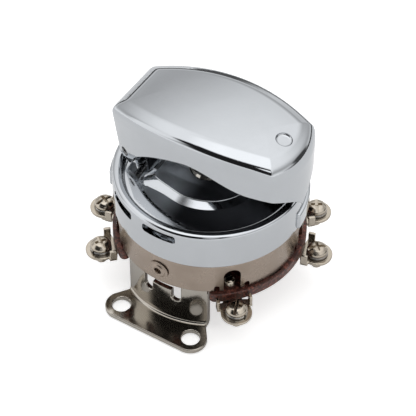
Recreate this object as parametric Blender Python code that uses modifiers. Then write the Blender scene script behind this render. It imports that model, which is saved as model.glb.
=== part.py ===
"""Rotary ignition switch with a flip-up lever cover.

Lengths are written in millimetres times MM, because the scene is in metres. The pieces are
modelled about the switch axis, with z = 0 at the lower edge of the drum, the lever along X
with its narrow end at +X, and the mounting bracket towards -Y. The empty "switch_axis"
then lifts everything so that the underside of the bracket flange lies on the ground plane,
with the point midway between its two holes at the world origin.
"""
import math

import bmesh
import bpy
from mathutils import Matrix, Vector

MM = 0.001

# Fits between pieces
CLEAR = 0.3 * MM
SEAT = 0.12 * MM

# Drum
DRUM_R = 29.4 * MM
DRUM_WALL = 0.8 * MM
DRUM_BAND_H = 11.2 * MM
NECK_WALL = 0.8 * MM
NECK_H = 6.0 * MM
DECK_DROP = 3.6 * MM
DECK_T = 0.9 * MM
ARCH_W = 5.3 * MM
ARCH_H = 8.9 * MM
SMALL_ARCH_W = 1.7 * MM
SMALL_ARCH_H = 2.4 * MM
SMALL_ARCH_TURN = math.radians(9.2)
TAB_ANGLES = (-15.0, 90.0, 165.0)
TAB_W = 4.0 * MM
TAB_REACH = 1.0 * MM

# Terminal board
BOARD_R = 30.6 * MM
BOARD_T = 3.3 * MM
BOARD_CORNER_R = 1.6 * MM

# Terminals
TERMINAL_ANGLES = (-165.0, -135.0, -45.0, 15.0, 45.0)
SCREW_BEYOND_BOARD = 4.4 * MM
SCREW_CIRCLE_R = BOARD_R + SCREW_BEYOND_BOARD
CONTACT_CIRCLE_R = 26.0 * MM
PLATE_T = 0.9 * MM
PLATE_END_R = 4.8 * MM
PLATE_TONGUE_HALF_W = 3.0 * MM
EAR_SPREAD = 5.0 * MM
EAR_T = 1.0 * MM
EAR_W = 2.2 * MM
EAR_H = 3.1 * MM
WASHER_R = 3.4 * MM
WASHER_T = 0.9 * MM
WASHER_SPLIT = 0.7 * MM
HEAD_R = 3.3 * MM
HEAD_H = 2.1 * MM
HEAD_SLOT_W = 1.0 * MM
HEAD_SLOT_DEPTH = 1.0 * MM
SHANK_R = 1.7 * MM
SHANK_L = 6.3 * MM
RIVET_SHANK_R = 1.2 * MM
RIVET_HEAD_R = 2.1 * MM
RIVET_HEAD_H = 2.0 * MM
RIVET_TAIL_R = 1.9 * MM
RIVET_TAIL_H = 0.7 * MM

# Mounting bracket
BRACKET_T = 1.6 * MM
BRACKET_HALF_W = 14.2 * MM
BRACKET_RISE = 9.0 * MM
BEND_R = 1.2 * MM
FLANGE_DROP = 18.0 * MM
HOLE_SPACING = 25.5 * MM
HOLE_R = 2.9 * MM
LOBE_R = 5.15 * MM
AXIS_TO_HOLES = 31.9 * MM
WINDOW_HALF_W = 6.5 * MM
WINDOW_SLOT_W = 3.1 * MM
WINDOW_SLOT_DEPTH = 8.0 * MM
WINDOW_TONGUE_Z = -3.6 * MM
BRACKET_RIVET_Z = 5.2 * MM
BRACKET_RIVET_R = 3.4 * MM
BRACKET_RIVET_BORE_R = 1.1 * MM
BRACKET_RIVET_SHANK_R = 1.7 * MM
BRACKET_RIVET_FLANGE_T = 0.6 * MM

# Dial cap
CAP_R = 30.0 * MM
CAP_WALL = 1.8 * MM
CAP_H = 13.0 * MM
CAP_GAP = 0.35 * MM
RIM_W = 3.3 * MM
RIM_ROUND = 1.3 * MM
RIM_UNDER = 1.5 * MM
BOWL_DEPTH = 2.0 * MM
CAP_FLOOR_T = 1.4 * MM
BOSS_R = 15.0 * MM
BOSS_BACK_X = -12.9 * MM
BOSS_BACK_HALF_W = 12.6 * MM
BOSS_FOOT = 1.6 * MM
BOSS_ROUND = 0.4 * MM
SLOT_ANGLES = (-121.0, -89.5)
SLOT_SPAN = 22.0
SLOT_H = 3.0 * MM
SLOT_BELOW_RIM = 3.2 * MM
PAD_PROUD = 0.9 * MM
PADS = ((20.0, 34.0, 3.6), (-163.0, 26.0, 7.0))
PAD_H = 6.0 * MM
LUG_HALF_W = 5.0 * MM
LUG_R = 2.7 * MM

# Lever cover
WIDE_END_X = -28.2 * MM
NOSE_X = 31.7 * MM
COVER_HALF_W = 17.2 * MM
SIDE_BOW_R = 74.6 * MM
SIDE_BOW_X = 1.35 * MM
NOSE_BOW_R = 23.0 * MM
WIDE_CORNER_R = 3.0 * MM
COVER_T = 1.5 * MM
COVER_DRAFT = math.radians(9.5)
EDGE_ABOVE_RIM = 24.3 * MM
EDGE_BOW_R = 126.8 * MM
EDGE_BOW_X = 5.5 * MM
WALL_TOP_DROP = 2.6 * MM
EDGE_INSET = 1.5 * MM
ROUND_INSET = 0.4 * MM
ROUND_DROP = 1.0 * MM
SLOPE_INSET = 4.3 * MM
SLOPE_RISE = 0.95 * MM
CROWN_RISE = 1.25 * MM
FOOT_GAP = 0.4 * MM
BACK_RISE = 0.6 * MM
ARCH_RISE = 13.7 * MM
ARCH_X = 2.8 * MM
ARCH_BACK_X = -21.3 * MM
ARCH_FRONT_X = 22.0 * MM
ARCH_POWER = 1.2
ARCH_ROOT = 0.58
CHEEK_RISE = 7.2 * MM
BEAK_HALF_W = 5.0 * MM
DIMPLE_X = 25.0 * MM
DIMPLE_R = 2.5 * MM
DIMPLE_DEPTH = 0.8 * MM

# Cover hinge
HINGE_X = -23.0 * MM
HINGE_ABOVE_RIM = 4.3 * MM
PIN_R = 1.35 * MM
PIN_RECESS = 0.6 * MM
PIN_PLAY = 0.2 * MM

# Lock
BARREL_R = 6.0 * MM
BARREL_PROUD = 0.3 * MM
KEYWAY_L = 7.0 * MM
KEYWAY_W = 1.4 * MM
KEYWAY_DEPTH = 6.0 * MM
CRANK_R = 1.5 * MM
CRANK_PIN_R = 0.9 * MM
BOLT_HALF_W = 2.5 * MM
BOLT_T = 2.2 * MM
BOLT_HEAD_HALF_W = 4.5 * MM
RAIL_T = 1.3 * MM
RAIL_L = 9.0 * MM
LOCK_POSITIONS = (135.0, 180.0, 225.0)

# Drive and contacts
DRIVE_PLATE_R = 19.5 * MM
DRIVE_PLATE_T = 0.9 * MM
SPINDLE_R = 3.9 * MM
SPINDLE_FLAT = 3.0 * MM
DRIVE_SCREW_SPREAD = 15.0 * MM
DRIVE_SCREW_R = 1.1 * MM
POST_R = 2.6 * MM
BUSH_R = 6.0 * MM
BUSH_FLANGE_R = 7.6 * MM
BUSH_FLANGE_T = 0.7 * MM
THRUST_R = 11.0 * MM
THRUST_T = 0.4 * MM
DETENT_CIRCLE_R = 13.0 * MM
DETENT_STEP = 45.0
DETENT_HOLE_R = 1.1 * MM
DETENT_PLATE_T = 0.8 * MM
DETENT_PLATE_HALF_W = 3.6 * MM
BALL_R = 1.6 * MM
ROTOR_R = 18.0 * MM
ROTOR_T = 5.0 * MM
POCKET_DEPTH = 4.0 * MM
SPRING_WIRE_R = 0.25 * MM
BRIDGE_T = 0.8 * MM
BRIDGE_HUB_R = 9.0 * MM
BRIDGE_ARM_HALF_W = 2.2 * MM
CLIP_R = 6.2 * MM
CLIP_T = 0.6 * MM

# Levels worked out from the sizes above
BOARD_TOP = -CLEAR
BOARD_BOTTOM = BOARD_TOP - BOARD_T
PLATE_TOP = BOARD_BOTTOM - CLEAR
PLATE_BOTTOM = PLATE_TOP - PLATE_T
HEAD_SEAT = PLATE_TOP + SEAT + WASHER_T + SEAT
CAP_BOTTOM = DRUM_BAND_H + CAP_GAP
RIM_Z = CAP_BOTTOM + CAP_H
BOWL_Z = RIM_Z - BOWL_DEPTH
CAP_UNDER_Z = BOWL_Z - CAP_FLOOR_T
BOSS_TOP = RIM_Z
NECK_R = CAP_R - CAP_WALL - 0.5 * MM
NECK_TOP = DRUM_BAND_H + NECK_H
DECK_TOP = NECK_TOP - DECK_DROP
DECK_BOTTOM = DECK_TOP - DECK_T
BRACKET_R = DRUM_R - DRUM_WALL - CLEAR
HINGE_Z = RIM_Z + HINGE_ABOVE_RIM
DRIVE_PLATE_BOTTOM = DECK_TOP + SEAT + THRUST_T + SEAT
DRIVE_PLATE_TOP = DRIVE_PLATE_BOTTOM + DRIVE_PLATE_T
BOLT_BOTTOM = DRIVE_PLATE_TOP + CLEAR
BOLT_TOP = BOLT_BOTTOM + BOLT_T
BARREL_BOTTOM = BOLT_TOP + CLEAR
DETENT_PLATE_BOTTOM = DECK_BOTTOM - SEAT - DETENT_PLATE_T
BALL_Z = DETENT_PLATE_BOTTOM - SEAT - BALL_R
ROTOR_TOP = BALL_Z
ROTOR_BOTTOM = ROTOR_TOP - ROTOR_T
BRIDGE_BOTTOM = BOARD_TOP + SEAT + RIVET_HEAD_H + CLEAR
SPINDLE_BOTTOM = BOARD_TOP + CLEAR
CLIP_BOTTOM = SPINDLE_BOTTOM + 0.8 * MM
BOLT_TRAVEL = 2 * CRANK_R * math.sin(math.radians(45))
BOLT_TIP_X = -(NECK_R - NECK_WALL - CLEAR - 0.9 * MM)

ROUND = 48
SMALL_ROUND = 16
TINY_ROUND = 10
DEEP = 60 * MM


def clear_scene():
    """Removes whatever the opened file holds."""
    for obj in list(bpy.data.objects):
        bpy.data.objects.remove(obj, do_unlink=True)


def make_material(name, colour, roughness, metallic):
    """A Principled material with one colour."""
    material = bpy.data.materials.new(name)
    material.use_nodes = True
    shader = material.node_tree.nodes["Principled BSDF"]
    shader.inputs["Base Color"].default_value = (*colour, 1.0)
    shader.inputs["Roughness"].default_value = roughness
    shader.inputs["Metallic"].default_value = metallic
    return material


clear_scene()
PARTS = bpy.data.collections.new("ignition_switch")
CUTTERS = bpy.data.collections.new("cutters")
bpy.context.scene.collection.children.link(PARTS)
bpy.context.scene.collection.children.link(CUTTERS)

CHROME = make_material("chrome", (0.78, 0.79, 0.80), 0.08, 1.0)
SATIN_NICKEL = make_material("satin_nickel", (0.58, 0.52, 0.46), 0.32, 1.0)
BRIGHT_NICKEL = make_material("bright_nickel", (0.66, 0.63, 0.58), 0.18, 1.0)
TERMINAL_NICKEL = make_material("terminal_nickel", (0.62, 0.57, 0.51), 0.24, 1.0)
PHENOLIC = make_material("phenolic_board", (0.12, 0.05, 0.04), 0.62, 0.0)
STEEL = make_material("steel", (0.50, 0.50, 0.50), 0.35, 1.0)
BRASS = make_material("brass", (0.72, 0.55, 0.26), 0.30, 1.0)
MOULDING = make_material("rotor_moulding", (0.05, 0.05, 0.05), 0.55, 0.0)


def make_empty(name, place, parent=None):
    """An empty that marks an axis, placed in the frame of the switch axis."""
    empty = bpy.data.objects.new(name, None)
    empty.empty_display_size = 5 * MM
    PARTS.objects.link(empty)
    empty.location = place
    if parent is not None:
        empty.parent = parent
        empty.location = Vector(place) - Vector(parent.get("place", (0, 0, 0)))
    empty["place"] = tuple(place)
    return empty


SWITCH_AXIS = make_empty("switch_axis", (0, 0, 0))
SWITCH_AXIS.location = (0, AXIS_TO_HOLES, FLANGE_DROP)
DIAL_AXIS = make_empty("dial_axis", (0, 0, RIM_Z), SWITCH_AXIS)
COVER_AXIS = make_empty("cover_axis", (HINGE_X, 0, HINGE_Z), DIAL_AXIS)
KEY_AXIS = make_empty("key_axis", (0, 0, BOSS_TOP), DIAL_AXIS)
BOLT_AXIS = make_empty("bolt_axis", (0, 0, BOLT_BOTTOM), DIAL_AXIS)


def add_part(name, mesh, material, axis=SWITCH_AXIS, smooth=True):
    """A finished piece: mesh in the frame of the switch axis, carried by one of the empties."""
    obj = bpy.data.objects.new(name, mesh)
    PARTS.objects.link(obj)
    obj.parent = axis
    obj.matrix_parent_inverse = Matrix.Translation(-Vector(axis["place"]))
    if not mesh.materials:
        mesh.materials.append(material)
    if smooth:
        mesh.shade_smooth()
        mesh.set_sharp_from_angle(angle=math.radians(35))
    return obj


def add_cutter(name, mesh):
    """A tool body for a Boolean modifier, not part of the model."""
    obj = bpy.data.objects.new(name, mesh)
    CUTTERS.objects.link(obj)
    obj.parent = SWITCH_AXIS
    obj.hide_render = True
    obj.display_type = "WIRE"
    return obj


def boolean(obj, operation, tool):
    """Adds a Boolean modifier with the named operation."""
    modifier = obj.modifiers.new(f"{operation.lower()}_{tool.name}", "BOOLEAN")
    modifier.operation = operation
    modifier.object = tool
    return modifier


def cut(obj, name, mesh):
    """Takes the given body away from the piece."""
    boolean(obj, "DIFFERENCE", add_cutter(name, mesh))


def join(obj, name, mesh):
    """Unites the given body with the piece."""
    boolean(obj, "UNION", add_cutter(name, mesh))


def bake(obj):
    """The piece's mesh with its modifiers worked in, for copies that share it."""
    bpy.context.view_layer.update()
    graph = bpy.context.evaluated_depsgraph_get()
    mesh = bpy.data.meshes.new_from_object(obj.evaluated_get(graph))
    bpy.data.objects.remove(obj, do_unlink=True)
    return mesh


def mesh_from_bmesh(name, builder):
    mesh = bpy.data.meshes.new(name)
    builder.to_mesh(mesh)
    builder.free()
    return mesh


def box_mesh(name, low, high, turn=0.0):
    """A box between two corners, turned about Z by an angle in degrees."""
    builder = bmesh.new()
    bmesh.ops.create_cube(builder, size=1.0)
    low, high = Vector(low), Vector(high)
    size = high - low
    place = Matrix.Translation((low + high) / 2) @ Matrix.Diagonal((*size, 1.0))
    bmesh.ops.transform(builder, matrix=Matrix.Rotation(math.radians(turn), 4, "Z") @ place, verts=builder.verts)
    return mesh_from_bmesh(name, builder)


def rod_mesh(name, centre, radius, length, axis="Z", steps=SMALL_ROUND, end_radius=None):
    """A cylinder or cone of the given length, centred on a point, along X, Y or Z."""
    builder = bmesh.new()
    top = radius if end_radius is None else end_radius
    bmesh.ops.create_cone(builder, cap_ends=True, segments=steps, radius1=radius, radius2=top, depth=length)
    turns = {"X": Matrix.Rotation(math.pi / 2, 4, "Y"), "Y": Matrix.Rotation(math.pi / 2, 4, "X"), "Z": Matrix()}
    bmesh.ops.transform(builder, matrix=Matrix.Translation(centre) @ turns[axis], verts=builder.verts)
    return mesh_from_bmesh(name, builder)


def merged(name, meshes):
    """One mesh that holds several bodies that don't touch, for use as a cutter."""
    builder = bmesh.new()
    for mesh in meshes:
        builder.from_mesh(mesh)
    return mesh_from_bmesh(name, builder)


def turned(name, profile, material, axis=SWITCH_AXIS, steps=SMALL_ROUND, closed=False):
    """A turned piece: (radius, height) points that run down its outer side, spun about Z."""
    mesh = bpy.data.meshes.new(name)
    count = len(profile)
    edges = [(i, i + 1) for i in range(count - 1)]
    if closed:
        edges.append((count - 1, 0))
    mesh.from_pydata([(radius, 0.0, height) for radius, height in profile], edges, [])
    obj = add_part(name, mesh, material, axis, smooth=False)
    screw = obj.modifiers.new("turn", "SCREW")
    screw.axis = "Z"
    screw.steps = steps
    screw.render_steps = steps
    screw.use_merge_vertices = True
    screw.merge_threshold = 0.00001
    screw.use_smooth_shade = True
    return obj


def turned_mesh(name, profile, steps=SMALL_ROUND, closed=False):
    """The mesh of a turned body."""
    return bake(turned(name, profile, STEEL, steps=steps, closed=closed))


def slab_mesh(name, loops, low, high, upright=False, turn=0.0):
    """A flat outline with holes, as thick as low to high.

    Lying flat, the outline's second coordinate is Y and the thickness runs along Z. Upright,
    the second coordinate is Z and the thickness runs along -Y. It is then turned about Z.
    """
    curve = bpy.data.curves.new(name, "CURVE")
    curve.dimensions = "2D"
    curve.fill_mode = "BOTH"
    curve.extrude = (high - low) / 2
    for loop in loops:
        spline = curve.splines.new("POLY")
        spline.points.add(len(loop) - 1)
        for point, (u, v) in zip(spline.points, loop):
            point.co = (u, v, 0.0, 1.0)
        spline.use_cyclic_u = True
    obj = bpy.data.objects.new(name, curve)
    CUTTERS.objects.link(obj)
    mesh = bake(obj)
    builder = bmesh.new()
    builder.from_mesh(mesh)
    bmesh.ops.remove_doubles(builder, verts=builder.verts, dist=0.000001)
    lift = Matrix.Translation((0, 0, (low + high) / 2))
    stand = Matrix.Rotation(math.pi / 2, 4, "X") if upright else Matrix()
    spin = Matrix.Rotation(math.radians(turn), 4, "Z")
    bmesh.ops.transform(builder, matrix=spin @ stand @ lift, verts=builder.verts)
    bmesh.ops.recalc_face_normals(builder, faces=builder.faces)
    return mesh_from_bmesh(name, builder)


def arc(centre, radius, start, end, steps):
    """Points on a circle from one angle to another, in degrees."""
    u, v = centre
    angles = [math.radians(start + (end - start) * i / steps) for i in range(steps + 1)]
    return [(u + radius * math.cos(a), v + radius * math.sin(a)) for a in angles]


def circle(centre, radius, steps=SMALL_ROUND):
    """A closed circle of points."""
    return arc(centre, radius, 0, 360 - 360 / steps, steps - 1)


def arch_outline(half_width, foot, top, steps=6):
    """An upright opening with straight sides and a half-round head."""
    return [(-half_width, foot), (half_width, foot)] + arc((0, top - half_width), half_width, 0, 180, steps)


def two_flats(radius, flat, steps=7):
    """A closed circle of points with a flat on each side, across X."""
    turn = math.degrees(math.acos(flat / radius))
    return arc((0, 0), radius, turn, 180 - turn, steps) + arc((0, 0), radius, 180 + turn, 360 - turn, steps)


def on_circle(radius, angle):
    """A point on a circle about the switch axis."""
    return radius * math.cos(math.radians(angle)), radius * math.sin(math.radians(angle))


def make_bracket():
    """Sheet bracket: a rolled wall inside the drum, bent out to a flange with two lobes."""
    inner = BRACKET_R - BRACKET_T
    flange_top = BRACKET_T - FLANGE_DROP
    bend = (BRACKET_R + BEND_R, flange_top + BEND_R)
    far = AXIS_TO_HOLES + 4 * LOBE_R
    profile = [(BRACKET_R, BRACKET_RISE)]
    profile += arc(bend, BEND_R, 180, 270, 3)
    profile += [(far, flange_top), (far, -FLANGE_DROP)]
    profile += arc(bend, BEND_R + BRACKET_T, 270, 180, 4)
    profile += [(inner, BRACKET_RISE)]
    bracket = turned("mounting_bracket", profile, BRIGHT_NICKEL, steps=80, closed=True)

    half = HOLE_SPACING / 2
    outline = [(-BRACKET_HALF_W, -0.4 * AXIS_TO_HOLES), (-BRACKET_HALF_W, -0.79 * AXIS_TO_HOLES)]
    outline += arc((-half, -AXIS_TO_HOLES), LOBE_R, 150, 270, 8)
    outline += arc((half, -AXIS_TO_HOLES), LOBE_R, 270, 390, 8)
    outline += [(BRACKET_HALF_W, -0.79 * AXIS_TO_HOLES), (BRACKET_HALF_W, -0.4 * AXIS_TO_HOLES)]
    blank = slab_mesh("bracket_blank", [outline], -FLANGE_DROP - BRACKET_T, BRACKET_RISE + BRACKET_T)
    boolean(bracket, "INTERSECT", add_cutter("bracket_blank", blank))

    holes = [rod_mesh("hole", (x, -AXIS_TO_HOLES, -FLANGE_DROP), HOLE_R, 4 * BRACKET_T, steps=24) for x in (-half, half)]
    cut(bracket, "flange_holes", merged("flange_holes", holes))

    slot_r = WINDOW_SLOT_W / 2
    slot_x = WINDOW_HALF_W - slot_r
    bottom = slot_r - WINDOW_SLOT_DEPTH
    window = [(-WINDOW_HALF_W, 2 * CLEAR)]
    window += arc((-slot_x, bottom), slot_r, 180, 360, 6)
    window += [(WINDOW_SLOT_W - WINDOW_HALF_W, WINDOW_TONGUE_Z), (WINDOW_HALF_W - WINDOW_SLOT_W, WINDOW_TONGUE_Z)]
    window += arc((slot_x, bottom), slot_r, 180, 360, 6)
    window += [(WINDOW_HALF_W, 2 * CLEAR)]
    cut(bracket, "bracket_window", slab_mesh("bracket_window", [window], inner - 3 * MM, BRACKET_R + 3 * MM, True))
    shank_hole = rod_mesh("bracket_rivet_hole", (0, -BRACKET_R, BRACKET_RIVET_Z), BRACKET_RIVET_SHANK_R + CLEAR, 8 * MM, "Y")
    cut(bracket, "bracket_rivet_hole", shank_hole)


def make_bracket_rivet():
    """Tubular rivet through the drum's band and the bracket, its axis along Y."""
    outer = DRUM_R + SEAT
    inner = BRACKET_R - BRACKET_T - SEAT
    flange = BRACKET_RIVET_FLANGE_T
    shank, bore = BRACKET_RIVET_SHANK_R, BRACKET_RIVET_BORE_R
    profile = [(bore + flange / 2, outer + flange), (BRACKET_RIVET_R * 0.72, outer + flange)]
    profile += [(BRACKET_RIVET_R * 0.80, outer + flange * 0.6), (BRACKET_RIVET_R, outer + flange * 0.5)]
    profile += [(BRACKET_RIVET_R, outer), (shank, outer), (shank, inner)]
    profile += [(shank + flange * 1.5, inner), (shank + flange * 1.5, inner - flange), (bore, inner - flange)]
    profile += [(bore, outer + flange / 2)]
    mesh = turned_mesh("bracket_rivet", profile, steps=16, closed=True)
    mesh.transform(Matrix.Translation((0, 0, BRACKET_RIVET_Z)) @ Matrix.Rotation(math.pi / 2, 4, "X"))
    add_part("bracket_rivet", mesh, SATIN_NICKEL)


def make_drum():
    """Housing drum: a band, a neck that runs inside the dial cap, and a deck across it."""
    band_in = DRUM_R - DRUM_WALL
    neck_in = NECK_R - NECK_WALL
    shoulder = DRUM_BAND_H
    profile = [(NECK_R, NECK_TOP), (NECK_R, shoulder), (DRUM_R - 2 * CLEAR, shoulder), (DRUM_R, shoulder - 2 * CLEAR)]
    profile += [(DRUM_R, 0), (band_in, 0), (band_in, shoulder - DRUM_WALL), (neck_in, shoulder - DRUM_WALL)]
    profile += [(neck_in, DECK_BOTTOM), (BUSH_R + CLEAR, DECK_BOTTOM), (BUSH_R + CLEAR, DECK_TOP)]
    profile += [(neck_in, DECK_TOP), (neck_in, NECK_TOP)]
    drum = turned("switch_drum", profile, SATIN_NICKEL, steps=ROUND, closed=True)

    near, far = band_in - 1 * MM, DRUM_R + 1 * MM
    arch = arch_outline(ARCH_W / 2, -1 * MM, ARCH_H)
    small = arch_outline(SMALL_ARCH_W / 2, -1 * MM, SMALL_ARCH_H, 3)
    openings = []
    for angle in TERMINAL_ANGLES:
        openings.append(slab_mesh("arch", [arch], near, far, True, angle + 90))
        for side in (-1, 1):
            turn = angle + 90 + side * math.degrees(SMALL_ARCH_TURN)
            openings.append(slab_mesh("small_arch", [small], near, far, True, turn))
    cut(drum, "drum_arches", merged("drum_arches", openings))

    notch = [(-BOLT_HALF_W - 2 * CLEAR, BOLT_BOTTOM - CLEAR), (BOLT_HALF_W + 2 * CLEAR, BOLT_BOTTOM - CLEAR)]
    notch += [(BOLT_HALF_W + 2 * CLEAR, NECK_TOP + 1 * MM), (-BOLT_HALF_W - 2 * CLEAR, NECK_TOP + 1 * MM)]
    notches = [slab_mesh("notch", [notch], neck_in - 1 * MM, NECK_R + 1 * MM, True, a + 90) for a in LOCK_POSITIONS]
    cut(drum, "lock_notches", merged("lock_notches", notches))

    tabs = []
    for angle in TAB_ANGLES:
        low = (band_in, -TAB_W / 2, BOARD_BOTTOM - TAB_REACH)
        high = (DRUM_R - CLEAR / 2, TAB_W / 2, 1 * MM)
        tabs.append(box_mesh("tab", low, high, angle))
    join(drum, "drum_tabs", merged("drum_tabs", tabs))
    hole = rod_mesh("drum_rivet_hole", (0, -DRUM_R, BRACKET_RIVET_Z), BRACKET_RIVET_SHANK_R + CLEAR, 4 * MM, "Y")
    cut(drum, "drum_rivet_hole", hole)


def make_board():
    """Terminal board with a gap for the bracket, rivet holes and slots for the drum's tabs."""
    inner = BRACKET_R - BRACKET_T - 2 * CLEAR
    side = BRACKET_HALF_W + 2 * CLEAR
    corner_x = side + BOARD_CORNER_R
    corner_turn = math.degrees(math.asin(corner_x / (BOARD_R - BOARD_CORNER_R)))
    corner_y = -(BOARD_R - BOARD_CORNER_R) * math.cos(math.radians(corner_turn))
    inner_turn = math.degrees(math.asin(side / inner))
    outline = arc((corner_x, corner_y), BOARD_CORNER_R, 180, 270 + corner_turn, 4)
    outline += arc((0, 0), BOARD_R, corner_turn - 90, 270 - corner_turn, ROUND)[1:-1]
    outline += arc((-corner_x, corner_y), BOARD_CORNER_R, 270 - corner_turn, 360, 4)
    outline += arc((0, 0), inner, -90 - inner_turn, inner_turn - 90, 12)
    loops = [outline]
    loops += [circle(on_circle(CONTACT_CIRCLE_R, a), RIVET_SHANK_R + CLEAR / 2, TINY_ROUND) for a in TERMINAL_ANGLES]
    mesh = slab_mesh("terminal_board", loops, BOARD_BOTTOM, BOARD_TOP)
    board = add_part("terminal_board", mesh, PHENOLIC)
    slots = []
    for angle in TAB_ANGLES:
        low = (DRUM_R - DRUM_WALL - CLEAR, -TAB_W / 2 - CLEAR, BOARD_BOTTOM - 1 * MM)
        high = (DRUM_R + CLEAR / 2, TAB_W / 2 + CLEAR, BOARD_TOP + 1 * MM)
        slots.append(box_mesh("slot", low, high, angle))
    cut(board, "tab_slots", merged("tab_slots", slots))


def terminal_plate_mesh():
    """Plate along +X: a tongue under the board, two upturned ears and a round end."""
    shoulder_in = BOARD_R + CLEAR
    shoulder_out = shoulder_in + EAR_W
    wide = EAR_SPREAD + EAR_T / 2
    reach = math.degrees(math.asin(0.86))
    outline = arc((CONTACT_CIRCLE_R, 0), PLATE_TONGUE_HALF_W, 270, 90, 6)
    outline += [(shoulder_in - 2 * CLEAR, PLATE_TONGUE_HALF_W), (shoulder_in, wide), (shoulder_out, wide)]
    outline += arc((SCREW_CIRCLE_R, 0), PLATE_END_R, reach + 50, -reach - 50, 14)
    outline += [(shoulder_out, -wide), (shoulder_in, -wide), (shoulder_in - 2 * CLEAR, -PLATE_TONGUE_HALF_W)]
    loops = [outline]
    loops.append(circle((CONTACT_CIRCLE_R, 0), RIVET_SHANK_R + CLEAR / 2, TINY_ROUND))
    loops.append(circle((SCREW_CIRCLE_R, 0), SHANK_R + CLEAR / 2, SMALL_ROUND))
    plate = add_part("plate", slab_mesh("plate", loops, PLATE_BOTTOM, PLATE_TOP), TERMINAL_NICKEL)
    for side in (-1, 1):
        near = side * EAR_SPREAD - EAR_T / 2
        ear = box_mesh("ear", (shoulder_in, near, PLATE_BOTTOM + SEAT), (shoulder_out, near + EAR_T, PLATE_TOP + EAR_H))
        join(plate, "ear", ear)
    return bake(plate)


def terminal_screw_mesh():
    """Pan-head screw, head up, with a slot across the head and a short cross recess."""
    top = HEAD_SEAT + HEAD_H
    profile = [(0, top), (0.5 * HEAD_R, top - 0.02 * HEAD_H), (0.8 * HEAD_R, top - 0.18 * HEAD_H)]
    profile += [(0.96 * HEAD_R, top - 0.46 * HEAD_H), (HEAD_R, top - 0.7 * HEAD_H), (HEAD_R, HEAD_SEAT)]
    profile += [(SHANK_R, HEAD_SEAT), (SHANK_R, HEAD_SEAT - SHANK_L + 0.4 * MM)]
    profile += [(SHANK_R - 0.4 * MM, HEAD_SEAT - SHANK_L), (0, HEAD_SEAT - SHANK_L)]
    screw = turned("screw", profile, TERMINAL_NICKEL, steps=14)
    half = HEAD_SLOT_W / 2
    floor = top - HEAD_SLOT_DEPTH
    cut(screw, "head_slot", box_mesh("head_slot", (-1.2 * HEAD_R, -half, floor), (1.2 * HEAD_R, half, top + half)))
    cross = box_mesh("head_cross", (-half, -0.55 * HEAD_R, floor - 0.2 * MM), (half, 0.55 * HEAD_R, top + half))
    cut(screw, "head_cross", cross)
    return bake(screw)


def lock_washer_mesh():
    """Split spring washer."""
    bottom = PLATE_TOP + SEAT
    inner = SHANK_R + CLEAR
    ring = [(WASHER_R, bottom + WASHER_T), (WASHER_R, bottom), (inner, bottom), (inner, bottom + WASHER_T)]
    washer = turned("washer", ring, TERMINAL_NICKEL, steps=16, closed=True)
    low = (0, -WASHER_SPLIT / 2, bottom - 1 * MM)
    high = (2 * WASHER_R, WASHER_SPLIT / 2, bottom + WASHER_T + 1 * MM)
    cut(washer, "washer_split", box_mesh("washer_split", low, high, 35))
    return bake(washer)


def terminal_rivet_mesh():
    """Contact rivet: a domed head on the board and a flat clinched end under the plate."""
    foot = BOARD_TOP + SEAT
    tail = PLATE_BOTTOM - SEAT
    profile = [(0, foot + RIVET_HEAD_H), (0.55 * RIVET_HEAD_R, foot + 0.86 * RIVET_HEAD_H)]
    profile += [(0.92 * RIVET_HEAD_R, foot + 0.45 * RIVET_HEAD_H), (RIVET_HEAD_R, foot)]
    profile += [(RIVET_SHANK_R, foot), (RIVET_SHANK_R, tail), (RIVET_TAIL_R, tail)]
    profile += [(RIVET_TAIL_R, tail - RIVET_TAIL_H / 2), (0.7 * RIVET_TAIL_R, tail - RIVET_TAIL_H), (0, tail - RIVET_TAIL_H)]
    return turned_mesh("rivet", profile, steps=12)


def make_terminals():
    """Five terminals: plate, washer, screw and contact rivet at each angle."""
    plate = terminal_plate_mesh()
    screw = terminal_screw_mesh()
    washer = lock_washer_mesh()
    rivet = terminal_rivet_mesh()
    for number, angle in enumerate(TERMINAL_ANGLES, 1):
        turn = math.radians(angle)
        outer = (*on_circle(SCREW_CIRCLE_R, angle), 0.0)
        inner = (*on_circle(CONTACT_CIRCLE_R, angle), 0.0)
        add_part(f"terminal_plate_{number}", plate, TERMINAL_NICKEL).rotation_euler.z = turn
        for name, mesh, place, spin in (("terminal_screw", screw, outer, turn + 0.9 * number),
                                        ("lock_washer", washer, outer, turn), ("terminal_rivet", rivet, inner, turn)):
            piece = add_part(f"{name}_{number}", mesh, TERMINAL_NICKEL)
            piece.location = place
            piece.rotation_euler.z = spin


def boss_outline(offset, steps=14):
    """Boss in plan: a circle about the axis that narrows to a square back, grown by an offset."""
    reach = math.hypot(BOSS_BACK_X, BOSS_BACK_HALF_W)
    turn = math.degrees(math.atan2(BOSS_BACK_HALF_W, BOSS_BACK_X) - math.acos(BOSS_R / reach))
    back_x, back_y = BOSS_BACK_X - offset, BOSS_BACK_HALF_W + offset
    corner = arc((back_x + BOSS_FOOT, back_y - BOSS_FOOT), BOSS_FOOT, 100, 170, 2)
    other = [(x, -y) for x, y in reversed(corner)]
    return arc((0, 0), BOSS_R + offset, -turn, turn, steps) + corner + other


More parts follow.
